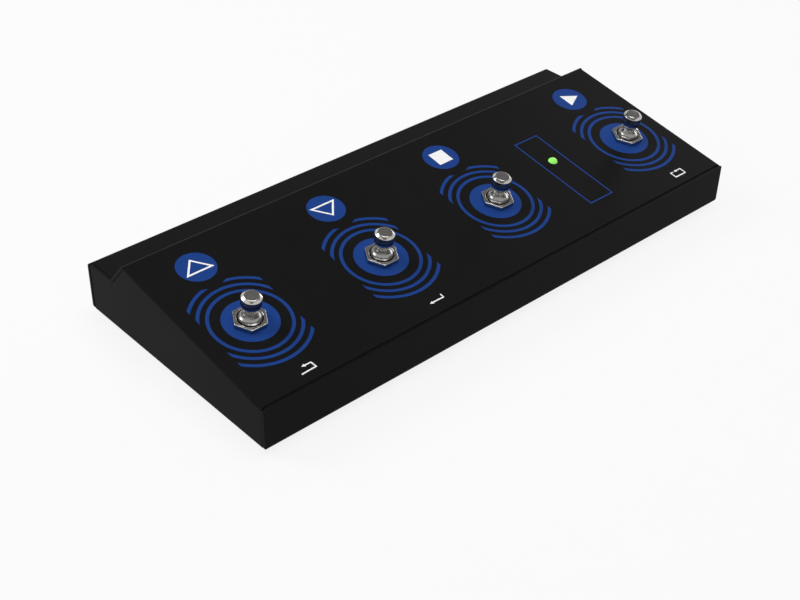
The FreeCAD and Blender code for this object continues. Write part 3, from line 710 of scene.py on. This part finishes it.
def turned(outline, rounds, steps, closed=False):
    """A turned mesh from (radius, height) points. Rounds are (index, size) of rounded corners."""
    mesh = bmesh.new()
    points = [mesh.verts.new((radius, 0.0, height)) for radius, height in outline]
    pairs = list(zip(points, points[1:]))
    if closed:
        pairs.append((points[-1], points[0]))
    for pair in pairs:
        mesh.edges.new(pair)
    for index, size in rounds:
        rounded(mesh, [points[index]], size, 5, "VERTICES")
    bmesh.ops.spin(
        mesh, geom=mesh.verts[:] + mesh.edges[:], cent=(0, 0, 0), axis=(0, 0, 1), dvec=(0, 0, 0),
        angle=math.tau, steps=steps, use_merge=True)
    bmesh.ops.remove_doubles(mesh, verts=mesh.verts, dist=0.0001)
    bmesh.ops.recalc_face_normals(mesh, faces=mesh.faces)
    return mesh


# %% Switch heads
neck_r = 2.85
waist_r = 4.2
waist_height = 7.9
head_r = 4.7
head_under = 7.0
head_side = 10.2
head_rim = 14.1
head_top = 15.1
head_flat_r = 3.4
collar_r = 4.9
collar_top = -9.45
collar_low = -10.65
tail_r = 1.5
for number, x in enumerate(switch_x, start=1):
    foot = extent("button_%d" % number)[0].z
    outline = [
        (0.0, foot), (tail_r, foot), (tail_r, collar_low), (collar_r, collar_low),
        (collar_r, collar_top), (neck_r, collar_top), (neck_r, head_under), (waist_r, waist_height),
        (head_r, head_side), (head_r, head_rim), (head_flat_r, head_top), (0.0, head_top)]
    rounds = [(1, 0.2), (3, 0.2), (4, 0.2), (6, 0.08), (7, 0.9), (8, 0.8), (9, 0.16), (10, 0.16)]
    placed(
        "switch_head_%d" % number, turned(outline, rounds, 96), [upright(x, switch_s)], "satin_nickel",
        satin_nickel, "button_%d" % number, body="plunger_%d" % number)

# %% [markdown]
# ## Threaded barrels
# The barrel clamps the switch to the panel. Above the nut its thread ends, and the top sweeps in to the
# neck like the bell of a trumpet. A true thread is a helix, but rings of the same pitch look the same
# between the nuts and keep the skin closed, so a loop adds a root and a crest for each turn of thread.
# The faces up to the bell's edge get a dark copy of the finish: painted shade, which draws the dark ring
# inside each nut.


# %% Barrels
def thread(root_r, crest_r, start, pitch, turns, crest):
    """Outline points of a thread: in each turn a root, and a crest between two heights above it."""
    points = []
    for index in range(turns):
        base = start + index * pitch
        points += [(root_r, base), (crest_r, base + crest[0]), (crest_r, base + crest[1])]
    return points


barrel_r = 5.9
bore_r = neck_r + 0.05
root_r = barrel_r - 0.42
thread_pitch = 0.75
thread_end = 0.6
flange_r = 7.4
flange_low = -9.4
flange_top = -8.2
bell_r = 5.3
bell_low = 0.75
bell_top = 2.2
throat_r = 3.65
throat_low = 2.75
lip_r = 3.15
barrel_top = 4.5
shade_line = 2.1
turns = int((thread_end - flange_top) / thread_pitch)
outline = [(bore_r, flange_low), (flange_r, flange_low), (flange_r, flange_top), (root_r, flange_top)]
outline += thread(root_r, barrel_r, flange_top + 0.15, thread_pitch, turns, (0.32, 0.42))
outline += [
    (bell_r, bell_low), (bell_r, bell_top), (throat_r, throat_low), (lip_r, barrel_top),
    (bore_r, barrel_top)]
last = len(outline)
rounds = [(1, 0.25), (2, 0.25), (last - 3, 1.2), (last - 2, 0.1)]
for number, x in enumerate(switch_x, start=1):
    piece = placed(
        "barrel_%d" % number, turned(outline, rounds, 72, closed=True), [upright(x, switch_s)],
        "satin_nickel", dull_nickel, "switch_bushing_%d" % number)
    # Faces below the line get the dark copy: painted shade inside each nut.
    piece.data.materials.append(shaded_thread)
    for face in piece.data.polygons:
        face.material_index = int((to_panel @ face.center).z < shade_line)

# %% [markdown]
# ## Hexagon nuts
# A nut is a flat ring between a hexagon and a circle, pushed up to its height. Both loops get the same
# number of points, so bridge_loops fills the ring with even faces. The extrusion keeps the ring it starts
# from, which closes the underside, and a bevel on the sharp edges gives the worn look of a nut that has
# met a spanner.


# %% Push faces up and find sharp edges
def made_parts(made, kind):
    """The points, or the edges, among what an operator made."""
    return [part for part in made["geom"] if isinstance(part, kind)]


def pushed(mesh, faces, step):
    """Pushes flat faces by a step and keeps them as the other side of the piece."""
    made = bmesh.ops.extrude_face_region(mesh, geom=faces, use_keep_orig=True)
    bmesh.ops.translate(mesh, verts=made_parts(made, bmesh.types.BMVert), vec=step)
    bmesh.ops.recalc_face_normals(mesh, faces=mesh.faces)


def sharp_edges(mesh, degrees):
    return [e for e in mesh.edges if e.is_manifold and e.calc_face_angle() > math.radians(degrees)]


# %% Draw the nuts
def hexagon_ring(across_flats, hole_r, height, edge):
    mesh = bmesh.new()
    cuts = 7
    bmesh.ops.create_circle(mesh, cap_ends=False, segments=6, radius=across_flats / math.sqrt(3.0))
    bmesh.ops.rotate(
        mesh, verts=mesh.verts, cent=(0, 0, 0), matrix=Matrix.Rotation(math.radians(30.0), 3, "Z"))
    bmesh.ops.subdivide_edges(mesh, edges=mesh.edges[:], cuts=cuts)
    bmesh.ops.create_circle(mesh, cap_ends=False, segments=6 * (cuts + 1), radius=hole_r)
    ring = bmesh.ops.bridge_loops(mesh, edges=mesh.edges[:])
    pushed(mesh, ring["faces"], (0, 0, height))
    rounded(mesh, sharp_edges(mesh, 45.0), edge, 3)
    return mesh


nut_flats = 14.5
thread_gap = 0.05
for name, node, edge, slot, plating in (
        ("panel_nuts", "switch_top_nuts", 0.24, "satin_nickel", satin_nickel),
        ("lock_nuts", "switch_lower_nuts", 0.2, "zinc_steel", zinc_steel)):
    low, high = extent(node)
    nut = hexagon_ring(nut_flats, barrel_r + thread_gap, high.z - low.z, edge)
    placed(name, nut, [upright(x, switch_s, low.z) for x in switch_x], slot, plating, node)

# %% [markdown]
# ## The light
# The light is a five millimetre diode: a clear domed body with a rim that stops under the panel. Its dome
# is an arc of points from one formula, spun with the rest of the outline.

# %% Indicator lens
low, high = extent("indicator_lens")
light_x, light_s = halfway(low, high)[:2]
lens_r = 2.45
rim_r = (high.x - low.x) / 2.0
rim_low = -2.9
rim_top = -1.9
dome = high.z
dome_r = (lens_r ** 2 + dome ** 2) / (2.0 * dome)
widest = math.asin(lens_r / dome_r)
arc_steps = 12
outline = [
    (0.0, low.z), (lens_r, low.z), (lens_r, rim_low), (rim_r, rim_low), (rim_r, rim_top),
    (lens_r, rim_top)]
for index in range(arc_steps + 1):
    angle = widest * (1.0 - index / arc_steps)
    outline.append((dome_r * math.sin(angle), dome - dome_r + dome_r * math.cos(angle)))
lens = turned(outline, [(1, 0.2), (3, 0.12), (4, 0.12)], 48)
placed("light_lens", lens, [upright(light_x, light_s)], "lens_green", lens_green, "indicator_lens")

# %% [markdown]
# ## Feet and screws underneath
# Four rubber feet keep the case off the floor. They are moulded with a rounded tread edge and a dimple,
# where a rivet would sit, and turned like the metal pieces. The cover is held by four button head screws
# with a hexagon socket. Their heads start as a flat ring between the socket's hexagon and the rim, and
# both loops are extruded from there: the inner one down into the socket, the outer one over the head's
# dome and along the shank.

# %% Rubber feet
foot_top_r = 6.6
foot_r = 6.0
dimple = [(0.0, 0.9), (1.9, 0.9), (2.3, 0.0)]
tread_groove = [(4.4, 0.0), (4.5, 0.25), (4.9, 0.25), (5.0, 0.0)]
foot_places, foot_h = at_corners("rubber_feet", foot_top_r)
outline = dimple + tread_groove + [(foot_r, 0.0), (foot_top_r, foot_h), (0.0, foot_h)]
foot = turned(outline, [(1, 0.25), (2, 0.2), (7, 0.7), (8, 0.15)], 48)
placed("feet", foot, foot_places, "foot_rubber", foot_rubber, "rubber_feet")


# %% Button head screws
def socket_screw(head_r, head_h, shank_r, length, socket):
    """A screw that stands on the tip of its shank: head up, with a hexagon socket in it."""
    mesh = bmesh.new()
    cuts = 3
    radius = head_r * 0.62
    height = length + head_h
    bmesh.ops.create_circle(mesh, cap_ends=False, segments=6, radius=socket / math.sqrt(3.0))
    bmesh.ops.subdivide_edges(mesh, edges=mesh.edges[:], cuts=cuts)
    inner = mesh.edges[:]
    bmesh.ops.create_circle(mesh, cap_ends=False, segments=6 * (cuts + 1), radius=radius)
    loop = [e for e in mesh.edges if e not in inner]
    bmesh.ops.bridge_loops(mesh, edges=mesh.edges[:])
    bmesh.ops.translate(mesh, verts=mesh.verts, vec=(0, 0, height))
    sunk = bmesh.ops.extrude_edge_only(mesh, edges=inner)
    bmesh.ops.translate(mesh, verts=made_parts(sunk, bmesh.types.BMVert), vec=(0, 0, -0.6 * head_h))
    bmesh.ops.contextual_create(mesh, geom=made_parts(sunk, bmesh.types.BMEdge))
    for next_radius, next_height in (
            (head_r * 0.86, length + head_h * 0.82), (head_r, length + head_h * 0.4),
            (head_r, length + 0.1), (head_r - 0.1, length), (shank_r, length), (shank_r, 0.3),
            (shank_r - 0.3, 0.0)):
        grown = bmesh.ops.extrude_edge_only(mesh, edges=loop)
        loop = made_parts(grown, bmesh.types.BMEdge)
        points = made_parts(grown, bmesh.types.BMVert)
        share = next_radius / radius
        bmesh.ops.scale(mesh, vec=(share, share, 1.0), verts=points)
        bmesh.ops.translate(mesh, verts=points, vec=(0, 0, next_height - height))
        radius = next_radius
        height = next_height
    bmesh.ops.contextual_create(mesh, geom=loop)
    bmesh.ops.recalc_face_normals(mesh, faces=mesh.faces)
    return mesh


screw_head_r = 2.8
screw_head_h = 1.6
screw_places, screw_h = at_corners("cover_screws", screw_head_r, hanging=True)
screw = socket_screw(
    screw_head_r, screw_head_h, shank_r=1.5, length=screw_h - screw_head_h, socket=2.0)
placed("case_screws", screw, screw_places, "zinc_steel", zinc_steel, "cover_screws")

# %% [markdown]
# ## Return springs
# Under each head a steel spring pushes the plunger back up. It is drawn as real wire: a small circle
# stands beside the axis and is swept round it while it climbs, which is the spin operator with a step
# along the axis.

# %% Wire coils
coil_r = 4.5
wire_r = 0.35
coil_turns = 5
steps = coil_turns * 28
stand_up = Matrix.Rotation(math.radians(90.0), 3, "X")
for number, x in enumerate(switch_x, start=1):
    low, high = extent("return_spring_%d" % number)
    climb = high.z - low.z - 2.0 * wire_r
    mesh = bmesh.new()
    bmesh.ops.create_circle(mesh, cap_ends=True, segments=10, radius=wire_r)
    bmesh.ops.rotate(mesh, verts=mesh.verts, cent=(0, 0, 0), matrix=stand_up)
    bmesh.ops.translate(mesh, verts=mesh.verts, vec=(coil_r, 0.0, low.z + wire_r))
    bmesh.ops.spin(
        mesh, geom=mesh.faces[:] + mesh.edges[:] + mesh.verts[:], cent=(0, 0, 0), axis=(0, 0, 1),
        dvec=(0, 0, climb / steps), angle=coil_turns * math.tau, steps=steps, use_duplicate=False)
    spring = placed(
        "spring_wire_%d" % number, mesh, [upright(x, switch_s)], "spring_steel", spring_steel,
        "return_spring_%d" % number)
    foot = upright(x, switch_s, low.z).translation
    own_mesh(spring)
print("spring climbs", round(climb, 2), "mm in", coil_turns, "turns")

# %% [markdown]
# ## Housings, contacts and washers
# Each switch has a square moulded housing with a round well for its spring. Two tinned lugs come up
# through its floor, and a bridge on the plunger's tail joins them when the head is pressed. A toothed
# washer lies under the panel, so that the nut cannot turn loose. The housing keeps the frame's outline
# with rounded edges. The gaps between the washer's teeth are drawn by pushing every second pair of points
# of the inner ring outwards.

# %% Housings, bridges and lugs
for number in range(1, 5):
    softened("switch_body_%d" % number, 0.35, housing_plastic, segments=3)
    softened("contact_bridge_%d" % number, 0.1, gold_plate, "plunger_%d" % number)
    softened("switch_lugs_%d" % number, 0.08, tin_plate)


# %% Toothed washers
def toothed_ring(outer_r, hole_r, height, teeth, depth):
    """A flat ring whose inner edge has teeth."""
    mesh = bmesh.new()
    around = teeth * 4
    for radius in (outer_r, hole_r):
        bmesh.ops.create_circle(mesh, cap_ends=False, segments=around, radius=radius)
    mesh.verts.ensure_lookup_table()
    for index in range(around):
        if index % 4 < 2:
            mesh.verts[around + index].co *= (hole_r + depth) / hole_r
    ring = bmesh.ops.bridge_loops(mesh, edges=mesh.edges[:])
    pushed(mesh, ring["faces"], (0, 0, height))
    rim = [
        e for e in sharp_edges(mesh, 60.0)
        if min(v.co.to_2d().length for v in e.verts) > outer_r - 0.1]
    rounded(mesh, rim, 0.12, 2)
    return mesh


low, high = extent("switch_lock_washers")
washer_r = (high.y - low.y) / 2.0
washer = toothed_ring(washer_r, barrel_r + thread_gap, high.z - low.z, teeth=18, depth=0.8)
washer_places = [upright(x, switch_s, low.z) for x in switch_x]
placed("lock_washers", washer, washer_places, "zinc_steel", zinc_steel, "switch_lock_washers")

# %% [markdown]
# ## Nuts pressed into the tabs
# The case screws end in round press nuts, which are squeezed into the cover's tabs from above. Each is
# turned: a neck in the sheet, a wide head above it, and a bore with a bevel at its mouth.

# %% Press nuts
press_head_r = 3.1
press_head_h = 1.8
press_neck_r = 2.1
press_bore_r = 1.55
press_places, press_h = at_corners("cover_press_nuts", press_head_r)
shoulder = press_h - press_head_h
outline = [
    (press_bore_r, 0.0), (press_neck_r, 0.0), (press_neck_r, shoulder), (press_head_r, shoulder),
    (press_head_r, press_h), (press_bore_r + 0.3, press_h), (press_bore_r, press_h - 0.3)]
press_nut = turned(outline, [(3, 0.12), (4, 0.3)], 40, closed=True)
placed("press_nuts", press_nut, press_places, "zinc_steel", zinc_steel, "cover_press_nuts")

# %% [markdown]
# ## The long circuit board
# All four switches and the light are soldered into one board. Its lacquer shows the tracks, and its
# edges are only broken, as a router leaves them. On the underside every tail ends in a cone of solder,
# which is what holds it, so one cone is turned and set at each tail.

# %% Board and solder
softened("switch_board", 0.12, board_green)
board_low = extent("switch_board")[0].z
lug_offset = 2.4
leg_offset = 1.27
solder_outline = [(0.0, 0.0), (1.5, 0.0), (1.05, -0.25), (0.75, -0.7), (0.0, -0.8)]
solder = turned(solder_outline, [(2, 0.3), (3, 0.2)], 20)
tails = []
for x in switch_x:
    tails += [(x - lug_offset, switch_s), (x + lug_offset, switch_s)]
tails += [(light_x - leg_offset, light_s), (light_x + leg_offset, light_s)]
solder_places = [upright(x, s, board_low + 0.02) for x, s in tails]
placed("solder_joints", solder, solder_places, "contact_metal", tin_plate)
softened("indicator_legs", 0.06, tin_plate)

# %% Spacer under the light
low, high = extent("indicator_spacer")
spacer_r = (high.x - low.x) / 2.0
mouth_r = 1.9
mouth_h = 0.6
well_r = 1.75
well_start = 0.8
outline = [
    (mouth_r, low.z), (spacer_r, low.z), (spacer_r, high.z), (mouth_r, high.z),
    (mouth_r, high.z - mouth_h), (well_r, high.z - well_start), (well_r, low.z + well_start),
    (mouth_r, low.z + mouth_h)]
spacer = turned(outline, [(1, 0.2), (2, 0.2)], 40, closed=True)
placed(
    "light_spacer", spacer, [upright(light_x, light_s)], "housing_plastic", housing_plastic,
    "indicator_spacer")

# %% [markdown]
# ## Parts on the board
# A controller in a flat square package reads the switches, timed by a crystal in a metal can. The package
# stands on gull wing legs, so a leg is drawn as a bent strip and turned to all four sides. The crystal's
# can is a box with fully rounded ends on a flange. Capacitors are cans in a dark sleeve with a groove
# near the foot and a shallow dish in the top. Resistors are ceramic chips with tinned ends.


# %% Boxes with rounded edges
def slab(low_corner, high_corner, upright_r, edge):
    """A box from two corners, its upright edges rounded widely and the rest a little."""
    mesh = bmesh.new()
    bmesh.ops.create_cube(mesh, size=1.0, matrix=filling(low_corner, high_corner))
    half = (high_corner[2] - low_corner[2]) * 0.5
    tall = [e for e in mesh.edges if abs(e.verts[0].co.z - e.verts[1].co.z) > half]
    rounded(mesh, tall, upright_r, 5)
    rounded(mesh, sharp_edges(mesh, 60.0), edge, 3)
    return mesh


def bent_leg(reach, width, thick, rise):
    """A gull wing leg: flat on the board, up, and flat into the package."""
    mesh = bmesh.new()
    path = [(reach, 0.0), (reach * 0.55, 0.0), (reach * 0.35, rise), (-0.4, rise)]
    lower = [mesh.verts.new((x, -width / 2.0, z)) for x, z in path]
    upper = [mesh.verts.new((x, -width / 2.0, z + thick)) for x, z in path]
    for index in range(len(path) - 1):
        mesh.faces.new((lower[index], lower[index + 1], upper[index + 1], upper[index]))
    pushed(mesh, mesh.faces[:], (0, width, 0))
    rounded(mesh, sharp_edges(mesh, 25.0), 0.04, 2)
    return mesh


# %% Controller with its legs
low, high = extent("controller_chip")
leg_reach = 1.0
legs_per_side = 11
leg_pitch = 0.8
chip = slab(
    (low.x + leg_reach, low.y + leg_reach, low.z + 0.15),
    (high.x - leg_reach, high.y - leg_reach, high.z), upright_r=0.35, edge=0.12)
placed("chip_package", chip, [panel], "component_black", chip_black, "controller_chip")
chip_middle = halfway(low, high)[:2]
half_package = (high.x - low.x) / 2.0 - leg_reach
leg_places = []
for side in range(4):
    turned_side = Matrix.Rotation(math.radians(90.0 * side), 4, "Z")
    for index in range(legs_per_side):
        along = (index - (legs_per_side - 1) / 2.0) * leg_pitch
        at = Matrix.Translation((half_package, along, 0.0))
        leg_places.append(upright(*chip_middle, low.z + 0.02) @ turned_side @ at)
leg = bent_leg(leg_reach, width=0.36, thick=0.14, rise=0.55)
placed("chip_legs", leg, leg_places, "contact_metal", tin_plate)

# %% Crystal
low, high = extent("crystal_can")
can_inset = 0.3
flange_h = 0.5
end_r = (high.y - low.y) / 2.0
can = slab(
    (low.x + can_inset, low.y + can_inset, low.z), (high.x - can_inset, high.y - can_inset, high.z),
    upright_r=end_r - 0.35, edge=0.4)
flange = slab(low, (high.x, high.y, low.z + flange_h), upright_r=end_r - 0.05, edge=0.12)
crystal = copies(flange, [panel], copies(can, [panel]))
finished("crystal", crystal, "case", ["crystal_can"], tin_plate)

# %% Capacitors
low, high = extent("board_capacitors")
cap_r = (high.y - low.y) / 2.0
cap_h = high.z - low.z
inner_cap_x = 52.0
cap_s = halfway(low, high)[1]
crimp = [(cap_r, 0.8), (cap_r - 0.3, 1.15), (cap_r, 1.5)]
dish = [(cap_r - 0.7, cap_h), (cap_r - 0.8, cap_h - 0.25), (0.0, cap_h - 0.25)]
outline = [(0.0, 0.0), (cap_r, 0.0)] + crimp + [(cap_r, cap_h)] + dish
capacitor = turned(outline, [(1, 0.25), (3, 0.15), (5, 0.35)], 40)
cap_places = [upright(x, cap_s, low.z) for x in (low.x + cap_r, inner_cap_x, high.x - cap_r)]
placed("capacitors", capacitor, cap_places, "component_black", sleeve_blue, "board_capacitors")

# %% Resistors
low, high = extent("board_resistors")
count = 6
width = 1.6
end_skin = 0.03
end_width = 0.5
pitch = (high.x - low.x - width) / (count - 1)
resistor = slab((-width / 2.0, low.y, low.z), (width / 2.0, high.y, high.z), upright_r=0.12, edge=0.1)
resistor_places = [
    panel @ Matrix.Translation((low.x + width / 2.0 + i * pitch, 0, 0)) for i in range(count)]
placed("resistors", resistor, resistor_places, "component_black", chip_black, "board_resistors")
end_cap = slab(
    (-width / 2.0 - end_skin, low.y - end_skin, low.z),
    (width / 2.0 + end_skin, low.y + end_width, high.z + end_skin), upright_r=0.1, edge=0.08)
to_far_end = Matrix.Translation((0, high.y - low.y - (end_width - end_skin), 0))
end_places = [at for place in resistor_places for at in (place, place @ to_far_end)]
placed("resistor_ends", end_cap, end_places, "contact_metal", tin_plate)

# %% [markdown]
# ## The rear sockets
# A small level board carries a square socket for power and data and a round one for a pedal. The square
# socket is folded from tinned sheet over a moulded core, whose tongue has four gold strips. The round one
# is a moulded body with a threaded metal nose through the rear wall, held by a thin hexagon nut.

# %% Socket board, pillars and screws
softened("socket_board", 0.12, board_green)
pillar_r = 2.75
pillar_bore_r = 1.25
pillar_places, pillar_h = at_corners("socket_board_pillars", pillar_r)
outline = [
    (pillar_bore_r, 0.0), (pillar_r, 0.0), (pillar_r, pillar_h), (pillar_bore_r + 0.25, pillar_h),
    (pillar_bore_r, pillar_h - 0.25)]
pillar = turned(outline, [(1, 0.25), (2, 0.25)], 36, closed=True)
placed("board_pillars", pillar, pillar_places, "zinc_steel", zinc_steel, "socket_board_pillars")
small_head_r = 2.3
small_head_h = 1.4
screw_places, screw_h = at_corners("socket_board_screws", small_head_r)
screw = socket_screw(
    small_head_r, small_head_h, shank_r=1.2, length=screw_h - small_head_h, socket=1.5)
placed("board_screws", screw, screw_places, "zinc_steel", zinc_steel, "socket_board_screws")

# %% Square socket
softened("usb_shell", 0.14, tin_plate)
softened("usb_tongue", 0.16, housing_plastic)
softened("usb_contacts", 0.06, tin_plate)
low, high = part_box("usb_tongue")
tongue_x, _, tongue_z = [place / MM for place in halfway(low, high)]
strip_setback = 1.9
tongue_front = high.y / MM - strip_setback
strip_half_x = 1.25
strip_half_z = 1.6
strip = slab((-0.5, -5.4, -0.12), (0.5, 0.0, 0.12), upright_r=0.12, edge=0.05)
strip_places = []
for z in (tongue_z - strip_half_z, tongue_z + strip_half_z):
    for x in (tongue_x - strip_half_x, tongue_x + strip_half_x):
        strip_places.append(to_metres @ Matrix.Translation((x, tongue_front, z)))
placed("tongue_strips", strip, strip_places, "contact_metal", gold_plate)

# %% Round socket
softened("jack_body", 0.3, housing_plastic, segments=3)
softened("jack_contacts", 0.06, tin_plate)
low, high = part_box("jack_nose")
nose_r = (high.x - low.x) / 2.0 / MM
nose_root_r = nose_r - 0.3
nose_len = (high.y - low.y) / MM
nose_bore = 3.2
nose_pitch = 0.6
nose_flats = 12.0
nose_turns = int((nose_len - 0.9) / nose_pitch)
outline = [(nose_bore, 0.0), (nose_root_r, 0.0)]
outline += thread(nose_root_r, nose_r, 0.3, nose_pitch, nose_turns, (0.24, 0.34))
outline += [
    (nose_root_r, nose_len - 0.4), (nose_root_r, nose_len), (nose_bore + 0.35, nose_len),
    (nose_bore, nose_len - 0.35)]
nose = turned(outline, [(len(outline) - 3, 0.12)], 64, closed=True)
rearward = Matrix.Rotation(math.radians(-90.0), 4, "X") @ to_metres
nose_x, _, nose_z = halfway(low, high)
nose_place = Matrix.Translation((nose_x, low.y, nose_z)) @ rearward
placed("nose_thread", nose, [nose_place], "satin_nickel", satin_nickel, "jack_nose")
low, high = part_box("jack_nut")
nose_nut = hexagon_ring(nose_flats, nose_r + thread_gap, (high.y - low.y) / MM, edge=0.2)
nut_place = Matrix.Translation((nose_x, low.y, nose_z)) @ rearward
placed("nose_nut", nose_nut, [nut_place], "satin_nickel", satin_nickel, "jack_nut")

# %% [markdown]
# ## The ribbon between the boards
# A flat grey ribbon joins the two boards. It is one strip with a soft bend at each end, and its jacket
# shows the wires as fine ribs. It plugs into a cream clip on each board.

# %% Ribbon and clips
softened("ribbon_cable", 0.04, ribbon_grey)
softened("board_ribbon_socket", 0.2, clip_cream)
softened("socket_ribbon_socket", 0.2, clip_cream)

# %% [markdown]
# ## The studio
# The floor is plain and pale and keeps the soft shadow of the case. To the camera and to mirrors most of
# its light is emission behind Is Camera Ray and Is Glossy Ray, so it stays a paper white and throws
# nothing more on the object. The room is white to the same rays, so metal has something bright to mirror.


# %% Floor
def grey(level):
    return (level, level, level, 1.0)


def staged(name, mesh, material):
    """A drawn mesh in metres as a piece of the studio."""
    data = bpy.data.meshes.new(name)
    mesh.to_mesh(data)
    mesh.free()
    data.materials.append(material)
    piece = bpy.data.objects.new(name, data)
    bpy.context.collection.objects.link(piece)
    print(name, "faces:", len(data.polygons))


def paper_floor(name):
    finish = Finish(name)
    tooth = finish.noise(finish.place(), 60.0, 3.0)
    rays = finish.node("ShaderNodeLightPath", output="Is Camera Ray")
    paper = finish.blend(tooth, grey(0.80), grey(0.84))
    sheet = finish.node("ShaderNodeBsdfDiffuse", inputs={"Color": paper})
    white = finish.node("ShaderNodeEmission", inputs={"Color": grey(1.0), "Strength": 1.0})
    seen = (rays + rays.also("Is Glossy Ray")).clamped() * 0.86
    mixed = finish.node("ShaderNodeMixShader", inputs={0: seen, 1: sheet, 2: white})
    return finish.close("ShaderNodeOutputMaterial", mixed)


floor = bmesh.new()
bmesh.ops.create_grid(floor, x_segments=8, y_segments=8, size=4.0)
staged("floor", floor, paper_floor("paper_floor"))


# %% Room
def white_room(name):
    finish = Finish(name, "worlds")
    rays = finish.node("ShaderNodeLightPath", output="Is Camera Ray")
    seen = (rays + rays.also("Is Glossy Ray") + rays.also("Is Transmission Ray")).clamped()
    soft = finish.node("ShaderNodeBackground", inputs={"Color": grey(1.0), "Strength": 0.30})
    white = finish.node("ShaderNodeBackground", inputs={"Color": grey(1.0), "Strength": 1.0})
    mixed = finish.node("ShaderNodeMixShader", inputs={0: seen, 1: soft, 2: white})
    return finish.close("ShaderNodeOutputWorld", mixed)


bpy.context.scene.world = white_room("room")
print("room nodes:", len(bpy.context.scene.world.node_tree.nodes))

# %% [markdown]
# ## What the metal mirrors
# Bright metal shows the room, not itself, and in an all white room its flat tops would vanish. In the
# photograph the flat tops are mid grey while their chamfers are nearly white, so something grey hangs
# over the object. A card does that here: the camera looks straight through it, and mirrors see it grey.


# %% A grey ceiling that the camera looks through
def ceiling_card(name):
    finish = Finish(name)
    cloth = finish.noise(finish.place(), 3.0, 2.0)
    tone = finish.blend(cloth, grey(0.17), grey(0.21))
    rays = finish.node("ShaderNodeLightPath", output="Is Camera Ray")
    clear = finish.node("ShaderNodeBsdfTransparent", inputs={"Color": grey(1.0)})
    card = finish.node("ShaderNodeEmission", inputs={"Color": tone, "Strength": 1.0})
    mixed = finish.node("ShaderNodeMixShader", inputs={0: rays, 1: card, 2: clear})
    return finish.close("ShaderNodeOutputMaterial", mixed)


ceiling = bmesh.new()
card_place = Matrix.Translation((1.25, 0.65, 1.8)) @ Matrix.Diagonal((2.35, 2.25, 1.0, 1.0))
bmesh.ops.create_grid(ceiling, x_segments=4, y_segments=4, size=1.0, matrix=card_place)
staged("ceiling", ceiling, ceiling_card("ceiling_card"))

# %% [markdown]
# ## Three soft lamps
# One lamp above gives the soft shadow under the object. One at the left rear gives the long sheen that
# makes the sloping panel lighter toward its middle, and a weak one at the right rear lifts the far end.
# All three are squares that look at the middle of the case.

# %% Lamps
lamp_aim = Vector((0.0, 0.0, 0.03))
for name, place, size, power in (
        ("left_box", (-0.65, 0.77, 0.86), 0.6, 7.0),
        ("rear_box", (1.40, 0.45, 0.40), 0.6, 3.2),
        ("top_box", (0.20, -0.10, 1.50), 0.8, 10.4)):
    data = bpy.data.lights.new(name, "AREA")
    data.size = size
    data.energy = power
    light = bpy.data.objects.new(name, data)
    facing = (lamp_aim - Vector(place)).to_track_quat("-Z", "Y").to_matrix().to_4x4()
    light.matrix_world = Matrix.Translation(place) @ facing
    bpy.context.collection.objects.link(light)
    print(name, "at", place, "with", power, "watts")
